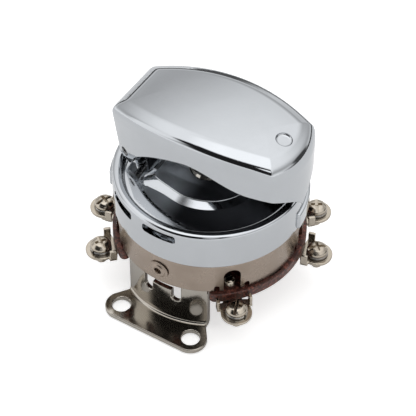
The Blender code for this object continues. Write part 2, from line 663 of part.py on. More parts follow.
def boss_mesh():
    """Boss: rings of its plan, with a hollow-curved foot and a rounded top edge."""
    rings = [(BOSS_FOOT, CAP_UNDER_Z + CLEAR)]
    for i in range(4):
        turn = math.radians(30 * i)
        rings.append((BOSS_FOOT * (1 - math.sin(turn)), BOWL_Z + BOSS_FOOT * (1 - math.cos(turn)) - CLEAR))
    rings.append((-0.3 * BOSS_ROUND, BOSS_TOP - 0.3 * BOSS_ROUND))
    rings.append((-BOSS_ROUND, BOSS_TOP))
    builder = bmesh.new()
    rows = [[builder.verts.new((x, y, z)) for x, y in boss_outline(offset)] for offset, z in rings]
    for lower, upper in zip(rows, rows[1:]):
        for i in range(len(lower)):
            j = (i + 1) % len(lower)
            builder.faces.new((lower[i], lower[j], upper[j], upper[i]))
    builder.faces.new(rows[0][::-1])
    builder.faces.new(rows[-1])
    return mesh_from_bmesh("boss", builder)


def sector_mesh(name, centre_angle, span, near, far, low, high, steps=8):
    """A block between two radii over a span of angle."""
    start, end = centre_angle - span / 2, centre_angle + span / 2
    outline = arc((0, 0), far, start, end, steps) + arc((0, 0), near, end, start, steps)
    return slab_mesh(name, [outline], low, high)


def make_dial_cap():
    """Turned cap with a dished top, lock boss, hinge lug, wall slots and raised pads."""
    inner = CAP_R - CAP_WALL
    rim_in = CAP_R - RIM_W
    bowl_round = BOWL_DEPTH - RIM_ROUND
    profile = [(0, BOWL_Z), (rim_in - bowl_round, BOWL_Z), (rim_in - 0.3 * bowl_round, BOWL_Z + 0.3 * bowl_round)]
    profile += arc((rim_in + RIM_ROUND, RIM_Z - RIM_ROUND), RIM_ROUND, 180, 90, 3)
    profile += arc((CAP_R - RIM_ROUND, RIM_Z - RIM_ROUND), RIM_ROUND, 90, 0, 3)
    profile += [(CAP_R, CAP_BOTTOM + CLEAR), (CAP_R - CLEAR, CAP_BOTTOM), (inner, CAP_BOTTOM)]
    profile += [(inner, RIM_Z - RIM_UNDER), (rim_in, RIM_Z - RIM_UNDER), (rim_in, CAP_UNDER_Z), (0, CAP_UNDER_Z)]
    cap = turned("dial_cap", profile, CHROME, DIAL_AXIS, steps=ROUND)

    join(cap, "boss", boss_mesh())
    lug_foot = BOWL_Z - 0.5 * CAP_FLOOR_T
    lug = [(HINGE_X - LUG_R, lug_foot), (HINGE_X + LUG_R, lug_foot)] + arc((HINGE_X, HINGE_Z), LUG_R, 0, 180, 8)
    join(cap, "hinge_lug", slab_mesh("hinge_lug", [lug], -LUG_HALF_W, LUG_HALF_W, True))
    for number, (angle, span, low) in enumerate(PADS, 1):
        low_z = CAP_BOTTOM + (low - 3.2) * MM
        pad = sector_mesh("pad", angle, span, CAP_R - 1 * MM, CAP_R + PAD_PROUD, low_z, low_z + PAD_H)
        join(cap, f"pad_{number}", pad)

    rail_foot = CAP_UNDER_Z + 0.5 * CAP_FLOOR_T
    rail_in = BOLT_HALF_W + CLEAR
    rail_x = BOLT_TIP_X + 1.5 * MM
    for side in (-1, 1):
        low = (rail_x, min(side * rail_in, side * (rail_in + RAIL_T)), BOLT_BOTTOM + CLEAR)
        high = (rail_x + RAIL_L, max(side * rail_in, side * (rail_in + RAIL_T)), rail_foot)
        join(cap, "rail", box_mesh("rail", low, high))
        post_mid = (BOLT_BOTTOM + rail_foot) / 2
        post = rod_mesh("post", (0, side * DRIVE_SCREW_SPREAD, post_mid), POST_R, rail_foot - BOLT_BOTTOM, steps=12)
        join(cap, "post", post)
        hole = rod_mesh("post_hole", (0, side * DRIVE_SCREW_SPREAD, BOLT_BOTTOM), DRIVE_SCREW_R + CLEAR / 2, 2 * 2.6 * MM, steps=TINY_ROUND)
        cut(cap, "post_hole", hole)

    cut(cap, "lock_bore", rod_mesh("lock_bore", (0, 0, BOSS_TOP), BARREL_R + CLEAR, DEEP, steps=28))
    cut(cap, "pin_bore", rod_mesh("pin_bore", (HINGE_X, 0, HINGE_Z), PIN_R + PIN_PLAY, 4 * LUG_HALF_W, "Y"))
    top = RIM_Z - SLOT_BELOW_RIM + SLOT_H / 2
    for angle in SLOT_ANGLES:
        slot = sector_mesh("slot", angle, SLOT_SPAN, inner - 1 * MM, CAP_R + 1 * MM, top - SLOT_H, top)
        cut(cap, "wall_slot", slot)


def side_half_width(x):
    """Half width of the lever's top outline along its bowed sides."""
    return COVER_HALF_W - SIDE_BOW_R + math.sqrt(SIDE_BOW_R ** 2 - (x - SIDE_BOW_X) ** 2)


def edge_z(x):
    """Height of the lever's bowed upper edge."""
    return RIM_Z + EDGE_ABOVE_RIM - EDGE_BOW_R + math.sqrt(EDGE_BOW_R ** 2 - (x - EDGE_BOW_X) ** 2)


def nose_corner():
    """Where the bowed side meets the nose's arc, found by halving."""
    centre = NOSE_X - NOSE_BOW_R
    low, high = 0.0, NOSE_X
    for _ in range(40):
        x = (low + high) / 2
        on_arc = math.sqrt(max(NOSE_BOW_R ** 2 - (x - centre) ** 2, 0.0))
        if on_arc > side_half_width(x):
            low = x
        else:
            high = x
    return low


def top_outline():
    """Half of the lever's top outline, from the middle of the wide end to the tip of the nose."""
    end_half = side_half_width(WIDE_END_X)
    corner_x = nose_corner()
    points = [(WIDE_END_X, y) for y in (0.0, 0.5 * (end_half - WIDE_CORNER_R), end_half - WIDE_CORNER_R)]
    points += arc((WIDE_END_X + WIDE_CORNER_R, end_half - WIDE_CORNER_R), WIDE_CORNER_R, 180, 100, 4)[1:]
    first = points[-1][0]
    for i in range(1, 19):
        x = first + (corner_x - first) * i / 18
        points.append((x, side_half_width(x)))
    start = math.degrees(math.asin(side_half_width(corner_x) / NOSE_BOW_R))
    points += arc((NOSE_X - NOSE_BOW_R, 0), NOSE_BOW_R, start * 0.94, 0, 6)
    points[-1] = (NOSE_X, 0.0)
    return points


def moved_in(x, y, inset):
    """A point of the outline moved in towards the lever's middle line by a distance."""
    middle = Vector((min(max(x, WIDE_END_X + 8 * MM), NOSE_X - 7 * MM), 0.0))
    away = Vector((x, y)) - middle
    return middle + away * (1 - inset / away.length), away.length


def foot_z(x, y, corner_x):
    """Height of the lever's lower edge: an arch along each side and a beak at the nose."""
    if x > corner_x:
        full = 1 - math.exp(-(side_half_width(corner_x) / BEAK_HALF_W) ** 1.3)
        rise = CHEEK_RISE * (1 - math.exp(-(abs(y) / BEAK_HALF_W) ** 1.3)) / full
    elif x > ARCH_X:
        share = 0.5 + 0.5 * math.cos(math.pi * min((x - ARCH_X) / (ARCH_FRONT_X - ARCH_X), 1.0))
        rise = CHEEK_RISE + (ARCH_RISE - CHEEK_RISE) * share
    else:
        share = min((x - ARCH_X) / (ARCH_BACK_X - ARCH_X), 1.0)
        rise = BACK_RISE + (ARCH_RISE - BACK_RISE) * (1 - share ** ARCH_POWER) ** ARCH_ROOT
    return RIM_Z + FOOT_GAP + rise


def wall_point(x, y, corner_x, height):
    """A point of the drafted wall: height 0 is its lower edge and 1 its top."""
    top = edge_z(x) - WALL_TOP_DROP
    z = foot_z(x, y, corner_x)
    z += (top - z) * height
    at, _ = moved_in(x, y, (top - z) * math.tan(COVER_DRAFT))
    return Vector((at.x, at.y, z))


def top_point(x, y, inset, rise):
    """A point of the rounded edge, from its inset and its height over the edge line."""
    at, _ = moved_in(x, y, inset)
    return Vector((at.x, at.y, edge_z(at.x) + rise))


def cover_rows():
    """Rows of points up the wall of the lever, over its rounded edge and in to its middle line."""
    corner_x = nose_corner()
    outline = top_outline()
    rows = [[wall_point(x, y, corner_x, height) for x, y in outline] for height in (0.0, 0.5, 1.0)]
    for inset, rise in ((ROUND_INSET, -ROUND_DROP), (EDGE_INSET, 0.0), (SLOPE_INSET, SLOPE_RISE)):
        rows.append([top_point(x, y, inset, rise) for x, y in outline])
    rows.append([top_point(x, y, moved_in(x, y, 0.0)[1], CROWN_RISE) for x, y in outline])
    return rows


def make_lever_cover():
    """Hollow lever cover: a lofted half skin, mirrored and given its wall."""
    builder = bmesh.new()
    rows = [[builder.verts.new(point) for point in row] for row in cover_rows()]
    for lower, upper in zip(rows, rows[1:]):
        for i in range(len(lower) - 1):
            builder.faces.new((lower[i + 1], lower[i], upper[i], upper[i + 1]))
    bmesh.ops.remove_doubles(builder, verts=builder.verts, dist=0.000001)
    mesh = mesh_from_bmesh("lever_cover", builder)
    cover = add_part("lever_cover", mesh, CHROME, COVER_AXIS)
    mirror = cover.modifiers.new("other_half", "MIRROR")
    mirror.use_axis = (False, True, False)
    mirror.merge_threshold = 0.00001
    wall = cover.modifiers.new("wall", "SOLIDIFY")
    wall.thickness = COVER_T
    wall.offset = -1
    wall.use_even_offset = True

    notch_half = LUG_HALF_W + 2 * CLEAR
    notch = [(-notch_half, RIM_Z - 1 * MM), (notch_half, RIM_Z - 1 * MM)]
    notch_top = HINGE_Z + LUG_R + 1.4 * MM
    notch += [(notch_half, notch_top), (-notch_half, notch_top)]
    end_notch = slab_mesh("end_notch", [notch], -WIDE_END_X - 6 * MM, -WIDE_END_X + 3 * MM, True, -90)
    cut(cover, "end_notch", end_notch)
    cut(cover, "pin_hole", rod_mesh("pin_hole", (HINGE_X, 0, HINGE_Z), PIN_R + PIN_PLAY, DEEP, "Y"))
    dimple_mid = edge_z(DIMPLE_X) + CROWN_RISE - DIMPLE_DEPTH + 2 * MM
    cut(cover, "dimple", rod_mesh("dimple", (DIMPLE_X, 0, dimple_mid), DIMPLE_R, 4 * MM, steps=20))


def make_hinge_pin():
    """Plain pin through the cover's cheeks and the lug."""
    inset = (edge_z(HINGE_X) - WALL_TOP_DROP - HINGE_Z) * math.tan(COVER_DRAFT)
    reach = side_half_width(HINGE_X) - inset - PIN_RECESS
    mesh = rod_mesh("cover_hinge_pin", (HINGE_X, 0, HINGE_Z), PIN_R, 2 * reach, "Y")
    add_part("cover_hinge_pin", mesh, STEEL, DIAL_AXIS)


def make_lock():
    """Lock barrel with its keyway and crank pin, and the bolt that the pin throws."""
    top = BOSS_TOP + BARREL_PROUD
    profile = [(0, top), (0.9 * BARREL_R, top), (BARREL_R, top - 0.1 * BARREL_R), (BARREL_R, BARREL_BOTTOM), (0, BARREL_BOTTOM)]
    barrel = turned("lock_barrel", profile, BRASS, KEY_AXIS, steps=24)
    low = (-KEYWAY_L / 2, -KEYWAY_W / 2, top - KEYWAY_DEPTH)
    high = (KEYWAY_L / 2, KEYWAY_W / 2, top + 1 * MM)
    cut(barrel, "keyway", box_mesh("keyway", low, high))
    crank = CRANK_R * math.cos(math.radians(45))
    pin_low = BOLT_BOTTOM + CLEAR
    pin_mid = (crank, crank, (pin_low + BARREL_BOTTOM + 1 * MM) / 2)
    pin = rod_mesh("crank_pin", pin_mid, CRANK_PIN_R, BARREL_BOTTOM + 1 * MM - pin_low, steps=TINY_ROUND)
    join(barrel, "crank_pin", pin)

    slot_half = CRANK_PIN_R + CLEAR
    head_x = crank + slot_half + 2 * MM
    neck_x = crank - slot_half - 2 * MM
    outline = [(BOLT_TIP_X, -BOLT_HALF_W), (neck_x, -BOLT_HALF_W), (neck_x, -BOLT_HEAD_HALF_W)]
    outline += [(head_x, -BOLT_HEAD_HALF_W), (head_x, BOLT_HEAD_HALF_W), (neck_x, BOLT_HEAD_HALF_W)]
    outline += [(neck_x, BOLT_HALF_W), (BOLT_TIP_X, BOLT_HALF_W)]
    slot_low = crank - slot_half
    slot_high = CRANK_R + slot_half
    slot = [(crank - slot_half, slot_low), (crank + slot_half, slot_low)]
    slot += [(crank + slot_half, slot_high), (crank - slot_half, slot_high)]
    mesh = slab_mesh("lock_bolt", [outline, slot], BOLT_BOTTOM, BOLT_TOP)
    add_part("lock_bolt", mesh, STEEL, BOLT_AXIS)


def make_drive():
    """Drive plate with the spindle, held to the cap by two countersunk screws."""
    groove = SPINDLE_R - 0.7 * MM
    profile = [(0, DRIVE_PLATE_TOP), (DRIVE_PLATE_R, DRIVE_PLATE_TOP), (DRIVE_PLATE_R, DRIVE_PLATE_BOTTOM)]
    profile += [(SPINDLE_R, DRIVE_PLATE_BOTTOM), (SPINDLE_R, CLIP_BOTTOM + CLIP_T + CLEAR / 2)]
    profile += [(groove, CLIP_BOTTOM + CLIP_T + CLEAR / 2), (groove, CLIP_BOTTOM - CLEAR / 2)]
    profile += [(SPINDLE_R, CLIP_BOTTOM - CLEAR / 2), (SPINDLE_R, SPINDLE_BOTTOM), (0, SPINDLE_BOTTOM)]
    plate = turned("drive_plate", profile, STEEL, DIAL_AXIS, steps=24)
    reach = 2 * SPINDLE_R
    flats = []
    for turn in (0.0, 180.0):
        low = (SPINDLE_FLAT, -reach, SPINDLE_BOTTOM - 1 * MM)
        flats.append(box_mesh("flat", low, (reach, reach, DETENT_PLATE_BOTTOM), turn))
    cut(plate, "spindle_flats", merged("spindle_flats", flats))
    for number, side in enumerate((-1, 1), 1):
        place = (0, side * DRIVE_SCREW_SPREAD)
        middle = (DRIVE_PLATE_BOTTOM + DRIVE_PLATE_TOP) / 2
        wide, narrow = 2 * DRIVE_SCREW_R + CLEAR, DRIVE_SCREW_R + 2 * CLEAR
        seat = rod_mesh("countersink", (*place, middle), wide, 1.2 * DRIVE_PLATE_T, steps=12, end_radius=narrow)
        cut(plate, f"countersink_{number}", seat)
        foot = DRIVE_PLATE_BOTTOM + SEAT
        screw = [(0, BOLT_BOTTOM + 2.2 * MM), (DRIVE_SCREW_R, BOLT_BOTTOM + 2.2 * MM), (DRIVE_SCREW_R, DRIVE_PLATE_TOP)]
        screw += [(1.9 * DRIVE_SCREW_R, foot), (0, foot)]
        mesh = turned_mesh("drive_screw", screw, steps=12)
        add_part(f"drive_screw_{number}", mesh, STEEL, DIAL_AXIS).location = (*place, 0)


def make_bearing():
    """Flanged bush in the deck, thrust washer above it and the detent plate below it."""
    low = DECK_BOTTOM - SEAT - BUSH_FLANGE_T
    bore = SPINDLE_R + CLEAR
    bush = [(BUSH_R, DECK_TOP), (BUSH_R, DECK_BOTTOM - SEAT), (BUSH_FLANGE_R, DECK_BOTTOM - SEAT)]
    bush += [(BUSH_FLANGE_R, low), (bore, low), (bore, DECK_TOP)]
    turned("spindle_bush", bush, BRASS, steps=24, closed=True)
    thrust_low = DECK_TOP + SEAT
    ring = [(THRUST_R, thrust_low + THRUST_T), (THRUST_R, thrust_low), (bore, thrust_low), (bore, thrust_low + THRUST_T)]
    turned("thrust_washer", ring, BRASS, DIAL_AXIS, steps=24, closed=True)
    top = DETENT_PLATE_BOTTOM + DETENT_PLATE_T
    outer, inner = DETENT_CIRCLE_R + DETENT_PLATE_HALF_W, DETENT_CIRCLE_R - DETENT_PLATE_HALF_W
    loops = [circle((0, 0), outer, 28), circle((0, 0), inner, 20)]
    for base in (0.0, 180.0):
        for step in (-DETENT_STEP, 0.0, DETENT_STEP):
            loops.append(circle(on_circle(DETENT_CIRCLE_R, base + step), DETENT_HOLE_R, 6))
    mesh = slab_mesh("detent_plate", loops, DETENT_PLATE_BOTTOM, top)
    add_part("detent_plate", mesh, STEEL)


def coil_mesh(name, place, radius, low, high, turns, points_per_turn=7):
    """A round-wire compression spring about Z."""
    curve = bpy.data.curves.new(name, "CURVE")
    curve.dimensions = "3D"
    curve.bevel_depth = SPRING_WIRE_R
    curve.bevel_resolution = 1
    curve.use_fill_caps = True
    spline = curve.splines.new("POLY")
    count = turns * points_per_turn + 1
    spline.points.add(count - 1)
    start, end = low + SPRING_WIRE_R, high - SPRING_WIRE_R
    for i, point in enumerate(spline.points):
        angle = 2 * math.pi * i / points_per_turn
        height = start + (end - start) * i / (count - 1)
        point.co = (place[0] + radius * math.cos(angle), place[1] + radius * math.sin(angle), height, 1.0)
    obj = bpy.data.objects.new(name, curve)
    CUTTERS.objects.link(obj)
    mesh = bake(obj)
    builder = bmesh.new()
    builder.from_mesh(mesh)
    bmesh.ops.remove_doubles(builder, verts=builder.verts, dist=0.000001)
    bmesh.ops.recalc_face_normals(builder, faces=builder.faces)
    return mesh_from_bmesh(name, builder)


def make_contacts():
    """Rotor with the detent balls and springs above, contact bridge and spring below."""
    bore = two_flats(SPINDLE_R + CLEAR / 2, SPINDLE_FLAT + CLEAR / 2)
    disc = slab_mesh("contact_rotor", [circle((0, 0), ROTOR_R, 32), bore], ROTOR_BOTTOM, ROTOR_TOP)
    rotor = add_part("contact_rotor", disc, MOULDING, DIAL_AXIS)
    pocket_r = BALL_R + CLEAR
    for number, angle in enumerate((0.0, 180.0), 1):
        x, y = on_circle(DETENT_CIRCLE_R, angle)
        pocket = rod_mesh("pocket", (x, y, ROTOR_TOP), pocket_r, 2 * POCKET_DEPTH, steps=12)
        cut(rotor, f"pocket_{number}", pocket)
        builder = bmesh.new()
        bmesh.ops.create_uvsphere(builder, u_segments=10, v_segments=7, radius=BALL_R)
        bmesh.ops.translate(builder, vec=(x, y, BALL_Z), verts=builder.verts)
        add_part(f"detent_ball_{number}", mesh_from_bmesh("detent_ball", builder), STEEL, DIAL_AXIS)
        floor = ROTOR_TOP - POCKET_DEPTH + SEAT
        spring = coil_mesh("detent_spring", (x, y), 1.1 * MM, floor, BALL_Z - BALL_R - SEAT, 3)
        add_part(f"detent_spring_{number}", spring, STEEL, DIAL_AXIS)

    arm = CONTACT_CIRCLE_R
    half = BRIDGE_ARM_HALF_W
    turn = math.degrees(math.asin(half / BRIDGE_HUB_R))
    outline = arc((0, 0), BRIDGE_HUB_R, turn, 180 - turn, 8)
    outline += arc((-arm + half, 0), half, 90, 270, 4)
    outline += arc((0, 0), BRIDGE_HUB_R, 180 + turn, 360 - turn, 8)
    outline += arc((arm - half, 0), half, -90, 90, 4)
    loops = [outline, two_flats(SPINDLE_R + CLEAR, SPINDLE_FLAT + CLEAR)]
    bridge_top = BRIDGE_BOTTOM + BRIDGE_T
    mesh = slab_mesh("contact_bridge", loops, BRIDGE_BOTTOM, bridge_top)
    add_part("contact_bridge", mesh, BRASS, DIAL_AXIS)
    spring = coil_mesh("contact_spring", (0, 0), 6.5 * MM, bridge_top + SEAT, ROTOR_BOTTOM - SEAT, 2, 12)
    add_part("contact_spring", spring, STEEL, DIAL_AXIS)
    groove = SPINDLE_R - 0.7 * MM + CLEAR / 2
    clip = [(CLIP_R, CLIP_BOTTOM + CLIP_T), (CLIP_R, CLIP_BOTTOM), (groove, CLIP_BOTTOM), (groove, CLIP_BOTTOM + CLIP_T)]
    clip_obj = turned("retaining_clip", clip, STEEL, DIAL_AXIS, steps=20, closed=True)
    low = (0, -SPINDLE_R * 0.7, CLIP_BOTTOM - 1 * MM)
    high = (2 * CLIP_R, SPINDLE_R * 0.7, CLIP_BOTTOM + CLIP_T + 1 * MM)
    cut(clip_obj, "clip_mouth", box_mesh("clip_mouth", low, high, 90))


make_bracket()
make_bracket_rivet()
make_drum()
make_board()
make_terminals()
make_dial_cap()
make_lever_cover()
make_hinge_pin()
make_lock()
make_drive()
make_bearing()
make_contacts()
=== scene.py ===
import math

import bmesh
import bpy
import numpy as np
from mathutils import Matrix, Vector
from mathutils.geometry import tessellate_polygon


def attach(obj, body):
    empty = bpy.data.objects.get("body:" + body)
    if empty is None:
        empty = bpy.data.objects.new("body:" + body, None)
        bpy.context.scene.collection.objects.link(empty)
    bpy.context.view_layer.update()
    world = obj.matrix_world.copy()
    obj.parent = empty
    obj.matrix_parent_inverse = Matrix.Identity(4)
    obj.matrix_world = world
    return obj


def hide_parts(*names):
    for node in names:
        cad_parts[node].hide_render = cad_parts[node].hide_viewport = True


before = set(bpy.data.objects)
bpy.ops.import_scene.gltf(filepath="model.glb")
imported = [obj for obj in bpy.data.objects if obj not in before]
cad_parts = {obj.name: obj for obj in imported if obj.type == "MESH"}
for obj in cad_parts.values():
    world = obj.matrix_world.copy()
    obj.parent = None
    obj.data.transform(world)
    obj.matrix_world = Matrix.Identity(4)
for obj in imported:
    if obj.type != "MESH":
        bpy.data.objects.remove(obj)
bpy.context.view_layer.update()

# Shapes are worked out in millimetres about the switch axis, with z = 0 at the lower edge of
# the drum. PLACE carries them to the frame, which has its origin under the bracket flange.
MM = 0.001
PLACE = np.array((0.0, 31.9, 18.0))

# Dial cap: skirt, rim, dish and boss
CAP_R, CAP_LOW, RIM_TOP, RIM_T = 30.0, 11.55, 24.55, 1.5
DISH_Z, DISH_START_R, RIM_INNER_R, SKIRT_INNER_R = 22.55, 17.0, 26.7, 28.2
BOSS_R, BOSS_BACK, BOSS_BACK_HALF = 15.0, -12.9, 12.6
BOSS_FOOT, BOSS_ROUND = 3.0, 0.35
SLOT_LOW, SLOT_TOP, SLOT_HALF_TURN = 19.9, 22.9, 11.0
SLOT_TURNS = (-121.0, -89.5)

# Grip pads: name, turn, span in degrees, low and high edge
GRIP_PADS = (("grip_pad_right", 20.0, 34.0, 12.0, 18.0), ("grip_pad_left", -163.0, 26.0, 15.0, 21.0))
PAD_PROUD, PAD_SUNK, PAD_DEEP, PAD_EDGE = 0.85, 0.3, 0.6, 0.5

# Hinge of the lever cover
HINGE_X, HINGE_Z, LUG_R, LUG_HALF, NOTCH_HALF = -23.0, 28.85, 2.7, 5.0, 5.6
PIN_R, PIN_HOLE_R, PIN_LENGTH = 1.35, 1.55, 21.6

# Lever cover: ends, bowed sides and nose, bowed upper edge, the wall profile at that edge, the
# lean of the wall at the wide end in degrees, and how far the hollow's core line stops short
WIDE_END, NOSE = -28.2, 31.7
COVER_HALF, SIDE_BOW_R, SIDE_BOW_X, NOSE_BOW_R = 17.2, 74.6, 1.35, 23.0
EDGE_TOP, EDGE_BOW_R, EDGE_X = 48.85, 126.8, 5.5
BAND, BAND_RISE, CROWN_RISE, WALL_TOP, WALL_T = 4.2, 0.95, 1.25, -0.5, 1.5
END_DRAFT, CORE_IN, DIMPLE_X = 5.5, 13, 25.0
OUTLINE_POINTS = 3001

# Drum with its neck and deck
DRUM_R, DRUM_TOP, SHEET_T = 29.4, 11.2, 0.8
NECK_R, NECK_TOP = 27.7, 17.2
DECK_LOW, DECK_TOP, DECK_BORE_R = 12.7, 13.6, 6.3
BOLT_NOTCH_LOW, BOLT_NOTCH_HALF = 15.14, 3.1
ARCH_HALF, ARCH_TOP, SMALL_ARCH_HALF, SMALL_ARCH_TOP, SMALL_ARCH_TURN = 2.65, 8.9, 0.85, 2.4, 9.2
LOCK_TURNS = (135.0, 180.0, 225.0)
TAB_TURNS = (-15, 90, 165)

# Board, bracket and terminals
BOARD_R, BOARD_TOP, BOARD_LOW = 30.6, -0.3, -3.6
BRACKET_R, BRACKET_T, BRACKET_HALF = 28.3, 1.6, 14.2
FLANGE_LOW, HOLE_X, HOLE_Y, HOLE_R = -18.0, 12.75, -31.9, 2.9
RIVET_Z = 5.2
PLATE_TOP, PLATE_LOW, HEAD_SEAT = -3.9, -4.8, -2.76
SCREW_CIRCLE, CONTACT_CIRCLE = 35.0, 26.0
HEAD_R, HEAD_H, SHANK_R, SHANK_LENGTH = 3.3, 2.1, 1.7, 6.3
WASHER_R, WASHER_BORE_R, WASHER_T = 3.4, 2.0, 0.8
TERMINAL_TURNS = (-165.0, -135.0, -45.0, 15.0, 45.0)

# Brightness, azimuth, elevation, and the near and far degrees of the patches in the sky
SKY_PATCHES = ((1.25, -54, 26, 12, 21), (0.02, 10, 38, 28, 38), (0.02, -32, 55, 10, 18),
               (0.08, 128, 14, 8, 16), (1.5, 33, 46, 5, 9), (1.7, 0, 90, 12, 28))


# Grids and profiles


def grid_faces(rows, columns, wrap):
    """Quads between the neighbours of a grid of points. With wrap the last column meets the first."""
    i, j = np.meshgrid(np.arange(rows - 1), np.arange(columns if wrap else columns - 1), indexing="ij")
    k = (j + 1) % columns
    quads = (i * columns + j, i * columns + k, (i + 1) * columns + k, (i + 1) * columns + j)
    return np.stack(quads, axis=-1).reshape(-1, 4)


def make_mesh(name, points, faces):
    """Mesh of points in millimetres about the switch axis, welded, with its faces turned outwards."""
    mesh = bpy.data.meshes.new(name)
    placed = (np.asarray(points, float).reshape(-1, 3) + PLACE) * MM
    mesh.from_pydata(placed.tolist(), [], [list(face) for face in faces])
    work = bmesh.new()
    work.from_mesh(mesh)
    bmesh.ops.remove_doubles(work, verts=work.verts, dist=2e-6)
    bmesh.ops.recalc_face_normals(work, faces=work.faces)
    work.to_mesh(mesh)
    work.free()
    mesh.update()
    return mesh


def grid_mesh(name, grid, wrap=True):
    """Mesh of a grid of points, row by row."""
    grid = np.asarray(grid, float)
    rows, columns = grid.shape[:2]
    return make_mesh(name, grid, grid_faces(rows, columns, wrap))


def eased(corners, radii, steps=6):
    """Polyline through corners, each cut off at its radius and bridged by a quadratic curve.

    Point on the bridge = (1-t)^2 start + 2t(1-t) corner + t^2 end, for all corners at once. A
    corner array may have further axes after the first, so that many polylines are made together.
    """
    c = np.asarray(corners, float)
    r = np.asarray(radii, float).reshape((-1,) + (1,) * (c.ndim - 1))
    before, after = np.roll(c, 1, axis=0) - c, np.roll(c, -1, axis=0) - c
    before = before / np.maximum(np.linalg.norm(before, axis=-1, keepdims=True), 1e-9)
    after = after / np.maximum(np.linalg.norm(after, axis=-1, keepdims=True), 1e-9)
    start, end = c + before * r, c + after * r
    t = np.linspace(0, 1, steps + 1).reshape((1, -1) + (1,) * (c.ndim - 1))
    bridge = (1 - t) ** 2 * start[:, None] + 2 * t * (1 - t) * c[:, None] + t ** 2 * end[:, None]
    support = [(c + before * r * 1.25)[:, None], bridge, (c + after * r * 1.25)[:, None]]
    return np.concatenate(support, axis=1).reshape((-1,) + c.shape[1:])


def lathe_grid(profile, steps=256):
    """Points (r cos a, r sin a, z) for each profile point (r, z) and each angle a.

    A profile that keeps clear of the axis is closed by a return to its first point.
    """
    profile = np.asarray(profile, float)
    if max(profile[0, 0], profile[-1, 0]) > 0:
        profile = np.concatenate((profile, profile[:1]))
    a = np.linspace(0, 2 * np.pi, steps, endpoint=False)
    r, z = profile[:, :1], profile[:, 1:]
    return np.stack((r * np.cos(a), r * np.sin(a), z + 0 * a), axis=-1)


def lathe(name, profile, steps=256):
    """Turned mesh."""
    return grid_mesh(name, lathe_grid(profile, steps))


def turned_about(points, degrees, centre=(0.0, 0.0)):
    """Points turned about an upright line through centre."""
    p = np.array(points, float)
    a = math.radians(degrees)
    x, y = p[..., 0] - centre[0], p[..., 1] - centre[1]
    p[..., 0] = centre[0] + x * math.cos(a) - y * math.sin(a)
    p[..., 1] = centre[1] + x * math.sin(a) + y * math.cos(a)
    return p


def circle_line(centre, radius, start=0.0, end=360.0, steps=64, closed=True):
    """Points on a circle or an arc of it."""
    a = np.radians(np.linspace(start, end, steps, endpoint=not closed))
    return np.stack((centre[0] + radius * np.cos(a), centre[1] + radius * np.sin(a)), axis=-1)


def loop_normals(loop):
    """Unit normals to the right of a closed plane loop, each scaled to keep an offset edge parallel."""
    ahead, behind = np.roll(loop, -1, axis=0) - loop, loop - np.roll(loop, 1, axis=0)
    ahead = ahead / np.maximum(np.linalg.norm(ahead, axis=1, keepdims=True), 1e-9)
    behind = behind / np.maximum(np.linalg.norm(behind, axis=1, keepdims=True), 1e-9)
    n1 = np.stack((ahead[:, 1], -ahead[:, 0]), axis=1)
    n2 = np.stack((behind[:, 1], -behind[:, 0]), axis=1)
    mean = n1 + n2
    mean = mean / np.maximum(np.linalg.norm(mean, axis=1, keepdims=True), 1e-9)
    return mean / np.maximum((mean * n1).sum(1, keepdims=True), 0.5)


def slab(name, loops, low, high, edge=0.0, steps=3, shape=None):
    """Flat plate with rounded edges. loops[0] is its outline, the others its holes.

    Each loop is carried up a wall profile: a quarter circle of the edge radius, the straight
    wall, and a second quarter circle. The two faces are filled between the last rings. shape
    may then bend the whole set of points.
    """
    a = np.linspace(0, np.pi / 2, steps + 1) if edge else np.zeros(1)
    inset = np.concatenate((edge * (1 - np.sin(a)), edge * (1 - np.cos(a))))
    level = np.concatenate((low + edge * (1 - np.cos(a)), high - edge * (1 - np.sin(a))))
    if not edge:
        level = np.array((low, high), float)
    points, faces, rims = [], [], [[], []]
    count = 0
    for number, loop in enumerate(loops):
        loop = np.asarray(loop, float)
        area = np.sum(loop[:, 0] * np.roll(loop[:, 1], -1) - loop[:, 1] * np.roll(loop[:, 0], -1))
        if (area > 0) == (number > 0):
            loop = loop[::-1]
        ring = loop[None] - loop_normals(loop)[None] * inset[:, None, None]
        ring = np.concatenate((ring, np.broadcast_to(level[:, None, None], ring.shape[:2] + (1,))), axis=2)
        rows, columns = ring.shape[:2]
        faces += (grid_faces(rows, columns, True) + count).tolist()
        for side, row in ((0, 0), (1, rows - 1)):
            rims[side].append((ring[row], count + row * columns))
        points.append(ring.reshape(-1, 3))
        count += rows * columns
    for rim in rims:
        where = np.concatenate([start + np.arange(len(ring)) for ring, start in rim])
        triangles = tessellate_polygon([[Vector((*p[:2], 0)) for p in ring] for ring, _ in rim])
        faces += where[np.array(triangles)].tolist()
    points = np.concatenate(points)
    if shape:
        points = shape(points)
    return make_mesh(name, points, faces)


def block(name, low, high, edge=0.0, turn=0.0, steps=3):
    """Upright block between two corners, turned about the switch axis."""
    (x0, y0, z0), (x1, y1, z1) = low, high
    loop = np.array(((x0, y0), (x1, y0), (x1, y1), (x0, y1)), float)
    if edge:
        loop = eased(loop, [edge * 1.5] * 4, 4)
    return slab(name, [loop], z0, z1, edge, steps, lambda p: turned_about(p, turn))


def rod(name, start, radius, length, along="Z", edge=0.0, steps=48):
    """Round rod about its middle point."""
    half = length / 2
    profile = np.array(((0, half), (radius, half), (radius, -half), (0, -half)))
    if edge:
        profile = eased(profile, [0, edge, edge, 0], 4)
    grid = lathe_grid(profile, steps)
    if along == "Y":
        grid = grid[..., [0, 2, 1]]
    return grid_mesh(name, grid + np.array(start, float))


# Pieces


